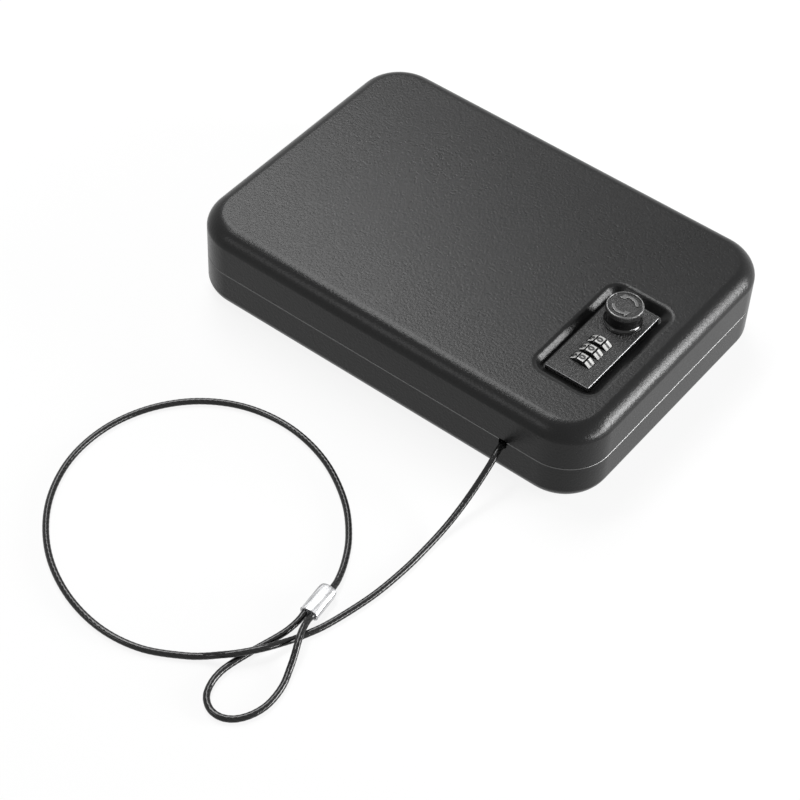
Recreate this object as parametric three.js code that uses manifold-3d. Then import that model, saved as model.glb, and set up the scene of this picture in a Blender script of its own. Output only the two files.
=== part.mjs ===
// A portable car safe: a drawn steel tray and lid joined by a barrel hinge on the left short side,
// a three-dial combination lock with a turning knob sunk into the lid, and a steel security cable
// that leaves the front through a notch in the tray's rim. Millimetres, +Z up. The origin is the
// middle of the underside, +X runs along the long side to the lock, and the cable leaves towards -Y.
// The pieces stand as they are with the lid closed and the latch unlocked.

import * as THREE from "three";
import { mergeVertices } from "three/addons/utils/BufferGeometryUtils.js";
import Module from "manifold-3d";

const wasm = await Module();
wasm.setup();

// Driving dimensions: the box
const boxLength = 240;
const boxWidth = 166;
const boxHeight = 49;
const lidOverTray = 1.2;
const planCornerRadius = 24.5;
const lidEdgeRadius = 8.6;
const baseEdgeRadius = 8.2;
const sheet = 1.2;
const seamGap = 0.4;
const partingHeight = (boxHeight - lidOverTray) / 2;

// Air left between pieces that touch, and how far a cutter runs past the face that it cuts
const fitGap = 0.3;
const overrun = 2;

// The inner lip that the lid closes over
const lipSheet = 1;
const lipClearance = 0.4;
const lipRise = 5;
const lipDrop = 7.9;

// The hinge
const hingeLength = 90;
const knuckleCount = 5;
const leafSheet = 1;
const leafReach = 11.5;
const knuckleBite = 0.7;
const knuckleWall = 0.9;
const pinHeadLength = 0.8;
const pinHeadRise = 0.7;

// Rivets through the leaves
const rivetRadius = 1.3;
const rivetHeadRadius = 2.6;
const rivetHeadHeight = 0.8;
const rivetSpacing = 32;
const rivetFromAxis = 7.4;
const rivetCrownShare = 0.6;

// The foam liners
const foamTuck = 4.2;
const trayFoamThickness = 5;
const lidFoamThickness = 11.5;
const foamEdgeHeight = 2.6;
const lidFoamFromLock = 20.9;

// Where the lock sits: its middle from the right end of the box and from the middle of its width
const lockInset = 33.5;
const lockOffset = -19.2;

// The lock's face plate and the pocket pressed into the lid for it
const plateWidth = 24.9;
const plateLength = 59.8;
const plateThickness = 2.2;
const plateDrop = 1.9;
const plateChamfer = 0.35;
const pocketSideMargin = 8.25;
const pocketEndMargin = 8.25;
const pocketShift = 0.1;
const pocketCornerRadius = 8.8;
const pocketRimRadius = 3.7;
const pocketWallAngle = THREE.MathUtils.degToRad(52);

// The lock case under the pocket, and the screws that hold it to the plate
const caseMargin = 0.55;
const caseHeight = 12.1;
const caseWall = 1.5;
const coverSheet = 1.5;
const plateScrewRadius = 1.3;
const plateScrewHeadRadius = 2.2;
const plateScrewHeadHeight = 1.8;
const plateScrewGrip = 2.3;
const plateScrewFromEnd = 4.6;
const plateBossWall = 1.2;

// The cover's four countersunk screws and the posts that they turn into
const coverScrewRadius = 1;
const coverScrewHeadRadius = 2;
const coverScrewHeadHeight = 1.1;
const coverScrewReach = 4.5;
const coverScrewFromSide = 2.6;
const postWall = 1.3;

// The dials
const dialCount = 3;
const platePitches = 8;
const plateSpare = 1.4;
const dialSpacing = 2.3;
const dialRadius = 7.2;
const dialSink = 4.8;
const earFromBoss = 0.4;
const dialBoreRadius = 4.7;
const dialGrooveDepth = 0.5;
const dialPadShare = 0.42;
const dialSlotClearance = 0.4;
const digitCount = 10;
const gateRadius = 3.6;
const gateNotchWidth = 1.6;
const gateNotchDepth = 1.3;
const detentDepth = 0.4;
const detentToothHalf = THREE.MathUtils.degToRad(11.5);
const axleRadius = 1.2;
const earSheet = 1.5;
const earWidth = 6.4;
const earRise = 2.2;
const springSheet = 0.4;

// The knob
const knobFromEnd = 12.7;
const knobHeadRadius = 9.4;
const knobHeadHeight = 3.2;
const knobRimChamfer = 0.4;
const knobSkirtRadius = 8.85;
const knobSkirtHeight = 7.4;
const knurlTeeth = 72;
const knurlDepth = 0.3;
const knobFaceRadius = 8.7;
const knobFaceDepth = 1;
const knobCapDrop = 0.35;
const arrowHeight = 0.35;
const arrowOuterShare = 0.74;
const arrowInnerShare = 0.58;
const arrowWideShare = 0.9;
const arrowNarrowShare = 0.42;
const arrowBend = THREE.MathUtils.degToRad(95);
const arrowTip = THREE.MathUtils.degToRad(125);
const ringOuterRadius = 9.8;
const ringHeight = 1.6;

// The spindle, the latch cam and its washer and nut
const spindleRadius = 3;
const spindleSquare = 4.2;
const studRadius = 2;
const studOvershoot = 0.5;
const camStandoff = 0.7;
const camSheet = 2;
const camWidth = 10;
const camHubRadius = 6.5;
const camTipClearance = 2.4;
const washerRadius = 4.2;
const washerSheet = 1;
const nutAcrossFlats = 7;
const nutHeight = 2;

// The keeper that the cam catches
const keeperSheet = 1.5;
const keeperWidth = 16;
const keeperReach = 9;
const keeperFoot = 10;
const latchClearance = 0.4;

// The fence that the knob lifts, and the helical collar that carries it
const fenceWidth = 2.4;
const fenceThickness = 1.5;
const fencePostWidth = 1.4;
const fencePostSheet = 0.7;
const fenceTravel = 1.2;
const fenceGap = 0.4;
const collarRadius = 5.6;
const collarFloor = 0.55;
const followerGap = 0.45;
const collarRest = THREE.MathUtils.degToRad(20);

// The reset lever on the inside of the cover
const leverTravel = 3;
const leverStemWidth = 1.4;
const leverStemLength = 2;
const leverFlange = 1.6;
const leverSheet = 0.8;
const leverTabDrop = 2;
const leverFromSide = 4.9;
const leverFromLastDial = 6.3;

// The security cable
const cordRadius = 1.65;
const cordSides = 8;
const cordLift = 0.1;
const runSteps = 58;
const eyeSteps = 22;
const notchWidth = 4.6;
const notchDrop = 3;
const notchOffset = 76.5;
const notchCentreHeight = partingHeight - notchDrop;
const stopRadius = 4.2;
const stopLength = 8.6;
const stopChamfer = 0.8;
const ferruleLength = 17.3;
const ferruleWidth = 9;
const ferruleHeight = 6.6;
const ferruleShoulder = 1.6;
const ferruleSquareness = 0.8;
const ferruleFootShare = 0.86;
const ferruleBendShare = 0.95;
const ferruleTopShare = 0.8;

// How finely round shapes are drawn
const cornerSteps = 6;
const edgeSteps = 4;
const roundSteps = 24;
const smallSteps = 12;
const ferruleSides = 16;

// Heights that follow from the sizes above
const trayRim = partingHeight - seamGap / 2;
const lidRim = partingHeight + seamGap / 2;
const plateTop = boxHeight - plateDrop;
const plateUnder = plateTop - plateThickness;
const pocketFloor = plateUnder - fitGap;
const pocketUnder = pocketFloor - sheet;
const caseTop = pocketUnder - fitGap;
const caseBottom = caseTop - caseHeight;
const coverTop = caseBottom - fitGap;
const coverUnder = coverTop - coverSheet;
const camTop = coverUnder - camStandoff;
const camUnder = camTop - camSheet;
const washerTop = camUnder - fitGap;
const washerUnder = washerTop - washerSheet;
const nutTop = washerUnder - fitGap;
const nutUnder = nutTop - nutHeight;
const dialAxisHeight = plateTop - dialSink;
const knobBottom = plateTop + fitGap;
const knobHeadBottom = knobBottom + knobSkirtHeight;
const knobTop = knobHeadBottom + knobHeadHeight;

// Places that follow from the sizes above
const leftWall = -boxLength / 2;
const rightWall = boxLength / 2;
const frontWall = -boxWidth / 2;
const lipInset = sheet + lipClearance;
const foamMargin = sheet + fitGap + leafSheet + fitGap + rivetHeadHeight + fitGap;
const lockX = rightWall - lockInset;
const knobOffset = plateLength / 2 - knobFromEnd;
const knobY = lockOffset + knobOffset;
const pocketWidth = plateWidth + 2 * pocketSideMargin;
const pocketLength = plateLength + 2 * pocketEndMargin;
const caseWidth = plateWidth - 2 * caseMargin;
const caseLength = plateLength - 2 * caseMargin;
const keeperBack = rightWall - lipInset - lipSheet - fitGap;
const keeperFront = keeperBack - keeperSheet;
const camReach = keeperFront - camTipClearance - lockX;
const stopFront = frontWall + lipInset + lipSheet + 2 * fitGap;
const dialPitch = (plateLength - plateSpare) / platePitches;
const dialWidth = dialPitch - dialSpacing;
const hubHalfWidth = (dialPitch - fitGap) / 2;
const plateBossRadius = plateScrewRadius + fitGap + plateBossWall;
const lowestEar = plateScrewFromEnd + plateBossRadius + earFromBoss - plateLength / 2;
const lastDial = lowestEar + earSheet + fitGap + hubHalfWidth;
const dialOffsets = Array.from(
  { length: dialCount },
  (_, index) => lastDial + (dialCount - 1 - index) * dialPitch,
);
const leverOffset = lastDial + leverFromLastDial;
const sideDiscWidth = hubHalfWidth - dialWidth / 2;

// Finishes, read off the photograph
const finishes = {
  powderCoat: { color: 0x2b2b2c, roughness: 0.55, metalness: 0 },
  innerPaint: { color: 0x222223, roughness: 0.6, metalness: 0 },
  crackle: { color: 0x1c1c1d, roughness: 0.6, metalness: 0.1 },
  knobBlack: { color: 0x151516, roughness: 0.3, metalness: 0.2 },
  zincPlate: { color: 0xb9bcc0, roughness: 0.35, metalness: 1 },
  castZinc: { color: 0x8e9195, roughness: 0.45, metalness: 1 },
  springSteel: { color: 0xc8cbcf, roughness: 0.25, metalness: 1 },
  dialWhite: { color: 0xe9e9e6, roughness: 0.4, metalness: 0 },
  brass: { color: 0xb08d46, roughness: 0.35, metalness: 1 },
  foam: { color: 0x1d1d1f, roughness: 0.95, metalness: 0 },
  jacket: { color: 0x141415, roughness: 0.25, metalness: 0 },
  aluminium: { color: 0xd9dadc, roughness: 0.3, metalness: 1 },
};

// A closed geometry as a solid that can be joined and cut
function solidOf(geometry) {
  const bare = new THREE.BufferGeometry();
  bare.setAttribute("position", geometry.getAttribute("position"));
  if (geometry.index) bare.setIndex(geometry.index);
  const merged = mergeVertices(bare);
  const corners = merged.index.array;
  const kept = [];
  for (let at = 0; at < corners.length; at += 3) {
    const [a, b, c] = [corners[at], corners[at + 1], corners[at + 2]];
    if (a !== b && b !== c && c !== a) kept.push(a, b, c);
  }
  return new wasm.Manifold(
    new wasm.Mesh({
      numProp: 3,
      vertProperties: new Float32Array(merged.getAttribute("position").array),
      triVerts: new Uint32Array(kept),
    }),
  );
}

// A solid as a geometry again
function geometryOf(solid) {
  const mesh = solid.getMesh();
  const geometry = new THREE.BufferGeometry();
  geometry.setAttribute("position", new THREE.BufferAttribute(new Float32Array(mesh.vertProperties), 3));
  geometry.setIndex(new THREE.BufferAttribute(new Uint32Array(mesh.triVerts), 1));
  geometry.computeVertexNormals();
  return geometry;
}

function joined(first, ...others) {
  return geometryOf(others.reduce((whole, other) => whole.add(solidOf(other)), solidOf(first)));
}

function cut(first, ...tools) {
  return geometryOf(tools.reduce((whole, tool) => whole.subtract(solidOf(tool)), solidOf(first)));
}

// One level ring of a rounded rectangle, anticlockwise from above
function rectangleRing(length, width, radius, height) {
  const steps = radius > 0 ? cornerSteps : 0;
  const ring = [];
  [[1, 1], [-1, 1], [-1, -1], [1, -1]].forEach(([sideX, sideY], quarter) => {
    for (let step = 0; step <= steps; step++) {
      const angle = (quarter + (steps ? step / steps : 0)) * (Math.PI / 2);
      const x = sideX * (length / 2 - radius) + radius * Math.cos(angle);
      const y = sideY * (width / 2 - radius) + radius * Math.sin(angle);
      ring.push([x, y, height]);
    }
  });
  return ring;
}

// A closed skin over a stack of rings that hold equally many points, with a fan at each end
function loft(rings) {
  const count = rings[0].length;
  const points = rings.flat();
  const faces = [];
  for (let level = 0; level + 1 < rings.length; level++) {
    for (let index = 0; index < count; index++) {
      const here = level * count + index;
      const next = level * count + ((index + 1) % count);
      faces.push(here, next, next + count, here, next + count, here + count);
    }
  }
  const lastStart = (rings.length - 1) * count;
  const middle = (ring) => [0, 1, 2].map((axis) => ring.reduce((sum, point) => sum + point[axis], 0) / count);
  points.push(middle(rings[0]), middle(rings[rings.length - 1]));
  for (let index = 0; index < count; index++) {
    const next = (index + 1) % count;
    faces.push(points.length - 2, next, index);
    faces.push(points.length - 1, lastStart + index, lastStart + next);
  }
  const geometry = new THREE.BufferGeometry();
  geometry.setAttribute("position", new THREE.Float32BufferAttribute(points.flat(), 3));
  geometry.setIndex(faces);
  return geometry;
}

// A loft of rounded rectangles that follow a profile of [inset, height] pairs
function rectangleLoft(length, width, radius, profile) {
  return loft(
    profile.map(([inset, height]) =>
      rectangleRing(length - 2 * inset, width - 2 * inset, radius > 0 ? radius - inset : 0, height),
    ),
  );
}

// A turned piece on the Z axis, from a profile of [radius, height] pairs that starts and ends on it
function turned(profile, segments = roundSteps) {
  const points = profile.map(([radius, height]) => new THREE.Vector2(radius, height));
  return new THREE.LatheGeometry(points, segments).rotateX(Math.PI / 2);
}

// A plain rod on the Z axis
function rod(radius, low, high, segments = roundSteps) {
  return turned([[0, low], [radius, low], [radius, high], [0, high]], segments);
}

// A block from its lowest to its highest corner
function block([x0, y0, z0], [x1, y1, z1]) {
  const geometry = new THREE.BoxGeometry(x1 - x0, y1 - y0, z1 - z0);
  return geometry.translate((x0 + x1) / 2, (y0 + y1) / 2, (z0 + z1) / 2);
}

// A flat outline given as points, raised from low to high
function raised(outline, low, high) {
  const shape = new THREE.Shape(outline.map(([x, y]) => new THREE.Vector2(x, y)));
  const geometry = new THREE.ExtrudeGeometry(shape, { depth: high - low, bevelEnabled: false });
  return geometry.translate(0, 0, low);
}

// Points of an arc of a circle about the origin
function arcPoints(radius, from, to, steps) {
  return Array.from({ length: steps + 1 }, (_, step) => {
    const angle = from + ((to - from) * step) / steps;
    return [radius * Math.cos(angle), radius * Math.sin(angle)];
  });
}

const pointAt = (radius, angle) => [radius * Math.cos(angle), radius * Math.sin(angle)];

// Turns a piece made on the Z axis onto the Y axis or the X axis
const ontoY = (geometry) => geometry.rotateX(-Math.PI / 2);
const ontoX = (geometry) => geometry.rotateY(Math.PI / 2);

// One named mesh of the part
function piece(name, finish, geometry, position = [0, 0, 0]) {
  const mesh = new THREE.Mesh(geometry, new THREE.MeshStandardMaterial(finishes[finish]));
  mesh.name = name;
  mesh.position.set(...position);
  return mesh;
}

// The quarter round of a drawn edge, as [inset, height above the flat face], flat end first
function drawnEdge(edgeRadius, depth) {
  return Array.from({ length: edgeSteps + 1 }, (_, step) => {
    const angle = ((Math.PI / 2) * step) / edgeSteps;
    const reach = edgeRadius - depth;
    return [edgeRadius - reach * Math.sin(angle), edgeRadius - reach * Math.cos(angle)];
  });
}

// What the hinge takes out of both walls, and the holes for the rivets of one leaf
function hingeCutters(leafSide) {
  const notchHalf = hingeLength / 2 + pinHeadLength + 2 * fitGap;
  const clear = knuckleRadius + fitGap;
  const notch = block(
    [leftWall - overrun, -notchHalf, partingHeight - clear],
    [leftWall + sheet + overrun / 2, notchHalf, partingHeight + clear],
  );
  return [notch, ...rivetPlaces(leafSide).map(([y, z]) => rivetHole(y, z))];
}

const knuckleRadius = sheet + fitGap + knuckleBite * leafSheet;
const pinRadius = knuckleRadius - knuckleWall - fitGap;

function rivetPlaces(leafSide) {
  return [-1, 0, 1].map((side) => [side * rivetSpacing, partingHeight + leafSide * rivetFromAxis]);
}

function rivetHole(y, z) {
  const hole = ontoX(rod(rivetRadius + fitGap, -overrun, sheet + fitGap + leafSheet + overrun, smallSteps));
  return hole.translate(leftWall, y, z);
}

// The tray
function makeTrayShell() {
  const shell = rectangleLoft(boxLength, boxWidth, planCornerRadius, [
    ...drawnEdge(baseEdgeRadius, 0),
    [0, trayRim],
    [sheet, trayRim],
    ...drawnEdge(baseEdgeRadius, sheet).reverse(),
  ]);
  return cut(shell, ...hingeCutters(-1), cableNotch(notchWidth / 2));
}

// The slot with a round foot that the cable lies in, as a cutter through the front wall and the lip
function cableNotch(halfWidth) {
  const top = partingHeight + lipRise + overrun;
  const foot = arcPoints(halfWidth, Math.PI, 2 * Math.PI, edgeSteps * 2);
  const outline = [...foot, [halfWidth, top - notchCentreHeight], [-halfWidth, top - notchCentreHeight]];
  const slot = raised(outline, -overrun, lipInset + lipSheet + overrun).rotateX(Math.PI / 2);
  return slot.translate(notchOffset, frontWall + lipInset + lipSheet, notchCentreHeight);
}

function makeLip() {
  const low = trayRim - lipDrop;
  const high = partingHeight + lipRise;
  const outer = lipInset;
  const inner = lipInset + lipSheet;
  const band = rectangleLoft(boxLength, boxWidth, planCornerRadius, [[outer, low], [outer, high]]);
  const inside = rectangleLoft(boxLength, boxWidth, planCornerRadius, [
    [inner, low - overrun],
    [inner, high + overrun],
  ]);
  const hingeHalf = hingeLength / 2 + pinHeadLength + 2 * fitGap;
  const hingeGap = block(
    [leftWall, -hingeHalf, low - overrun],
    [leftWall + inner + overrun, hingeHalf, high + overrun],
  );
  return cut(band, inside, hingeGap, cableNotch(notchWidth / 2));
}

function makeKeeper() {
  const half = keeperWidth / 2;
  const tongueUnder = camTop + latchClearance;
  const top = tongueUnder + keeperSheet;
  const upright = block([keeperFront, -half, keeperFoot], [keeperBack, half, top]);
  const tongue = block([keeperFront - keeperReach, -half, tongueUnder], [keeperBack, half, top]);
  return joined(upright, tongue);
}

// A foam liner lying on a drawn sheet: its face against the sheet is drawn in to clear the round edge
function foamPad(length, width, thickness) {
  const radius = planCornerRadius - foamMargin;
  return rectangleLoft(length, width, radius, [
    [foamTuck, 0],
    [0, foamEdgeHeight],
    [0, thickness],
  ]);
}

// The hinge: each leaf carries every other knuckle, and its plate stands back from the other's
function knuckleSpans(first) {
  const pitch = hingeLength / knuckleCount;
  const spans = [];
  for (let index = first; index < knuckleCount; index += 2) {
    const start = -hingeLength / 2 + index * pitch;
    spans.push([start + fitGap / 2, start + pitch - fitGap / 2]);
  }
  return spans;
}

function makeLeaf(leafSide) {
  const own = knuckleSpans(leafSide < 0 ? 0 : 1);
  const other = knuckleSpans(leafSide < 0 ? 1 : 0);
  const back = leftWall + sheet + fitGap;
  const sorted = (a, b) => [Math.min(a, b), Math.max(a, b)];
  const [low, high] = sorted(partingHeight, partingHeight + leafSide * leafReach);
  const plate = block([back, own[0][0], low], [back + leafSheet, own[own.length - 1][1], high]);
  const barrels = own.map(([from, to]) =>
    ontoY(rod(knuckleRadius, from, to, smallSteps)).translate(leftWall, 0, partingHeight),
  );
  const clear = knuckleRadius + fitGap;
  const gaps = other.map(([from, to]) =>
    block(
      [leftWall - clear, from - fitGap, partingHeight - clear],
      [back + leafSheet + overrun, to + fitGap, partingHeight + clear],
    ),
  );
  const bore = ontoY(rod(pinRadius + fitGap, -hingeLength, hingeLength, smallSteps));
  const holes = rivetPlaces(leafSide).map(([y, z]) => rivetHole(y, z));
  return cut(cut(joined(plate, ...barrels), ...gaps), bore.translate(leftWall, 0, partingHeight), ...holes);
}

function makePin() {
  const half = hingeLength / 2 + fitGap;
  const head = pinRadius + pinHeadRise;
  return ontoY(
    turned(
      [
        [0, -half - pinHeadLength],
        [head, -half - pinHeadLength],
        [head, -half],
        [pinRadius, -half],
        [pinRadius, half],
        [head, half],
        [head, half + pinHeadLength],
        [0, half + pinHeadLength],
      ],
      smallSteps,
    ),
  );
}

// A rivet along X whose origin is on the outer face of the wall
function makeRivet() {
  const inside = sheet + fitGap + leafSheet + fitGap;
  const crown = rivetHeadRadius * rivetCrownShare;
  return ontoX(
    turned(
      [
        [0, -fitGap - rivetHeadHeight],
        [crown, -fitGap - rivetHeadHeight],
        [rivetHeadRadius, -fitGap],
        [rivetRadius, -fitGap],
        [rivetRadius, inside],
        [rivetHeadRadius, inside],
        [crown, inside + rivetHeadHeight],
        [0, inside + rivetHeadHeight],
      ],
      smallSteps,
    ),
  );
}

// The lid, with the pocket for the lock pressed into it
const pocketInset = (() => {
  const wallDrop = boxHeight - pocketFloor - pocketRimRadius * (1 - Math.cos(pocketWallAngle));
  return pocketRimRadius * Math.sin(pocketWallAngle) + wallDrop / Math.tan(pocketWallAngle);
})();

// The pocket's rolled rim, as [inset, height] from the wall up to the lid's face, at a depth in the sheet
function pocketRim(depth) {
  const radius = pocketRimRadius - depth;
  return arcPoints(radius, pocketWallAngle, 0, edgeSteps).map(([up, inward]) => [
    inward,
    boxHeight - pocketRimRadius + up,
  ]);
}

function pocketSpace() {
  const profile = [[pocketInset, pocketFloor], ...pocketRim(0), [0, boxHeight + overrun]];
  return rectangleLoft(pocketWidth, pocketLength, pocketCornerRadius, profile);
}

function pocketCup() {
  return rectangleLoft(pocketWidth, pocketLength, pocketCornerRadius, [
    [pocketInset - sheet * Math.tan(pocketWallAngle / 2), pocketUnder],
    ...pocketRim(sheet),
    [-sheet, boxHeight - sheet / 2],
  ]);
}

function makeLidShell() {
  const inner = drawnEdge(lidEdgeRadius, sheet).map(([inset, rise]) => [inset, boxHeight - rise]);
  const outer = drawnEdge(lidEdgeRadius, 0).map(([inset, rise]) => [inset, boxHeight - rise]);
  const shell = rectangleLoft(boxLength, boxWidth, planCornerRadius, [
    ...inner,
    [sheet, lidRim],
    [0, lidRim],
    ...outer.reverse(),
  ]);
  const atPocket = (geometry) => geometry.translate(lockX + pocketShift, lockOffset, 0);
  const atLock = (geometry) => geometry.translate(lockX, lockOffset, 0);
  const pressed = cut(joined(shell, atPocket(pocketCup())), atPocket(pocketSpace()));
  const low = pocketUnder - overrun;
  const high = pocketFloor + overrun;
  const windowHalf = dialRadius + 2 * fitGap;
  const window = block(
    [-windowHalf, earSpan[0] - fitGap, low],
    [windowHalf, earSpan[1] + fitGap, high],
  );
  const spindleHole = rod(spindleRadius + 2 * fitGap, low, high).translate(0, knobOffset, 0);
  const screwHoles = plateScrewPlaces.map((y) =>
    rod(plateBossRadius + fitGap, low, high, smallSteps).translate(0, y, 0),
  );
  return cut(pressed, ...hingeCutters(1), ...[window, spindleHole, ...screwHoles].map(atLock));
}

// Along the lock's length: the outer faces of the two ears that carry the axle, and the plate's screws
const earInner = [
  dialOffsets[dialCount - 1] - hubHalfWidth - fitGap,
  dialOffsets[0] + hubHalfWidth + fitGap,
];
const earSpan = [earInner[0] - earSheet, earInner[1] + earSheet];
const plateScrewPlaces = [-1, 1].map((side) => side * (plateLength / 2 - plateScrewFromEnd));
const coverScrewPlaces = [[-1, -1], [1, -1], [-1, 1], [1, 1]].map(([sideX, sideY]) => [
  sideX * (caseWidth / 2 - coverScrewFromSide),
  sideY * (caseLength / 2 - coverScrewFromSide),
]);

// The lock's face plate, whose two bosses reach through the pocket's floor to the case
function makePlate() {
  const ring = (inset, height) => rectangleRing(plateWidth - 2 * inset, plateLength - 2 * inset, 0, height);
  const body = loft([ring(0, plateUnder), ring(0, plateTop - plateChamfer), ring(plateChamfer, plateTop)]);
  const bosses = plateScrewPlaces.map((y) =>
    rod(plateBossRadius, plateBossFoot, plateUnder + plateThickness / 4, smallSteps).translate(0, y, 0),
  );
  const screwSpan = [plateBossFoot - overrun, plateScrewTop + fitGap];
  const screwHoles = plateScrewPlaces.map((y) =>
    rod(plateScrewRadius + fitGap, ...screwSpan, smallSteps).translate(0, y, 0),
  );
  const spindleSpan = [plateUnder - overrun, plateTop + overrun];
  const spindleHole = rod(spindleRadius + fitGap, ...spindleSpan).translate(0, knobOffset, 0);
  const atAxle = (geometry, y) => ontoY(geometry).translate(0, y, dialAxisHeight);
  const slotHalf = dialWidth / 2 + fitGap;
  const slots = dialOffsets.map((y) => atAxle(rod(dialRadius + dialSlotClearance, -slotHalf, slotHalf), y));
  const relief = atAxle(rod(gateRadius + dialSlotClearance, earInner[0], earInner[1]), 0);
  return cut(joined(body, ...bosses), ...screwHoles, spindleHole, ...slots, relief);
}

const plateBossFoot = caseTop + fitGap;
const plateScrewTop = plateBossFoot + plateScrewGrip;

function makePlateScrew() {
  const headTop = caseTop - caseWall - fitGap;
  return turned(
    [
      [0, headTop - plateScrewHeadHeight],
      [plateScrewHeadRadius, headTop - plateScrewHeadHeight],
      [plateScrewHeadRadius, headTop],
      [plateScrewRadius, headTop],
      [plateScrewRadius, plateScrewTop],
      [0, plateScrewTop],
    ],
    smallSteps,
  );
}

// The case under the pocket, with two ears that rise through the pocket's window to carry the axle
function makeCase() {
  const halfWidth = caseWidth / 2;
  const halfLength = caseLength / 2;
  const body = block([-halfWidth, -halfLength, caseBottom], [halfWidth, halfLength, caseTop]);
  const room = block(
    [caseWall - halfWidth, caseWall - halfLength, caseBottom - overrun],
    [halfWidth - caseWall, halfLength - caseWall, caseTop - caseWall],
  );
  const postRadius = coverScrewRadius + fitGap + postWall;
  const posts = coverScrewPlaces.map(([x, y]) =>
    rod(postRadius, caseBottom, caseTop - caseWall / 2, smallSteps).translate(x, y, 0),
  );
  const windowHalf = dialRadius + fitGap;
  const window = block(
    [-windowHalf, earInner[0], caseTop - caseWall - overrun],
    [windowHalf, earInner[1], caseTop + overrun],
  );
  const earTop = dialAxisHeight + earRise;
  const ears = [[earSpan[0], earInner[0]], [earInner[1], earSpan[1]]].map(([from, to]) =>
    block([-earWidth / 2, from, dialAxisHeight - earRise], [earWidth / 2, to, earTop]),
  );
  const axleHole = ontoY(rod(axleRadius + fitGap, earSpan[0] - overrun, earSpan[1] + overrun, smallSteps));
  const roof = [caseTop - caseWall - overrun, caseTop + overrun];
  const bush = rod(spindleRadius + fitGap, ...roof).translate(0, knobOffset, 0);
  const screwHoles = plateScrewPlaces.map((y) =>
    rod(plateScrewRadius + fitGap, ...roof, smallSteps).translate(0, y, 0),
  );
  const postHoleTop = caseBottom + coverScrewReach + fitGap;
  const postHoles = coverScrewPlaces.map(([x, y]) =>
    rod(coverScrewRadius + fitGap, caseBottom - overrun, postHoleTop, smallSteps).translate(x, y, 0),
  );
  const hollowed = joined(cut(body, room), ...posts);
  return cut(
    joined(cut(hollowed, window), ...ears),
    axleHole.translate(0, 0, dialAxisHeight),
    bush,
    ...screwHoles,
    ...postHoles,
  );
}

// The cover that closes the case from inside the safe
function makeCover() {
  const halfWidth = caseWidth / 2;
  const halfLength = caseLength / 2;
  const plate = block([-halfWidth, -halfLength, coverUnder], [halfWidth, halfLength, coverTop]);
  const spindleSpan = [coverUnder - overrun, coverTop + overrun];
  const spindleHole = rod(spindleRadius + fitGap, ...spindleSpan).translate(0, knobOffset, 0);
  const sinks = coverScrewPlaces.map(([x, y]) =>
    turned(
      [
        [0, coverUnder - overrun],
        [coverScrewHeadRadius + fitGap, coverUnder - overrun],
        [coverScrewHeadRadius + fitGap, coverUnder],
        [coverScrewRadius + fitGap, coverUnder + coverScrewHeadHeight],
        [coverScrewRadius + fitGap, coverTop + overrun],
        [0, coverTop + overrun],
      ],
      smallSteps,
    ).translate(x, y, 0),
  );
  const slotHalf = leverStemWidth / 2 + fitGap;
  const slot = block(
    [leverX - slotHalf, leverOffset - leverStemLength / 2 - fitGap, coverUnder - overrun],
    [leverX + slotHalf, leverOffset + leverStemLength / 2 + leverTravel + fitGap, coverTop + overrun],
  );
  return cut(plate, spindleHole, ...sinks, slot);
}

const leverX = leverFromSide - caseWidth / 2;

function makeCoverScrew() {
  return turned(
    [
      [0, coverUnder],
      [coverScrewHeadRadius, coverUnder],
      [coverScrewRadius, coverUnder + coverScrewHeadHeight],
      [coverScrewRadius, caseBottom + coverScrewReach],
      [0, caseBottom + coverScrewReach],
    ],
    smallSteps,
  );
}

// A lever with a flange inside the cover, a stem through its slot and a tab for a fingertip below
function makeLever() {
  const stemHalf = leverStemWidth / 2;
  const stemHalfLength = leverStemLength / 2;
  const flangeLow = coverTop + fitGap;
  const tabTop = coverUnder - fitGap;
  const stem = block(
    [-stemHalf, -stemHalfLength, tabTop - leverTabDrop],
    [stemHalf, stemHalfLength, flangeLow + leverSheet],
  );
  const flange = block(
    [-stemHalf - leverFlange, -stemHalfLength - leverFlange, flangeLow],
    [stemHalf + leverFlange, stemHalfLength + leverFlange, flangeLow + leverSheet],
  );
  const tab = block(
    [-stemHalf - leverFlange / 2, -stemHalfLength - leverFlange / 2, tabTop - leverTabDrop],
    [stemHalf + leverFlange / 2, stemHalfLength + leverFlange / 2, tabTop],
  );
  return joined(stem, flange, tab);
}

// The dials: a numbered wheel on a hub, whose side discs hold the detents and the gate
function makeWheel() {
  const sector = (2 * Math.PI) / digitCount;
  const padHalf = sector * dialPadShare;
  const outline = [];
  for (let digit = 0; digit < digitCount; digit++) {
    const middle = Math.PI / 2 + digit * sector;
    outline.push(...arcPoints(dialRadius, middle - padHalf, middle + padHalf, 2));
    outline.push(pointAt(dialRadius - dialGrooveDepth, middle + sector / 2));
  }
  const wheel = raised(outline, -dialWidth / 2, dialWidth / 2);
  return ontoY(cut(wheel, rod(dialBoreRadius, -dialWidth, dialWidth)));
}

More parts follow.
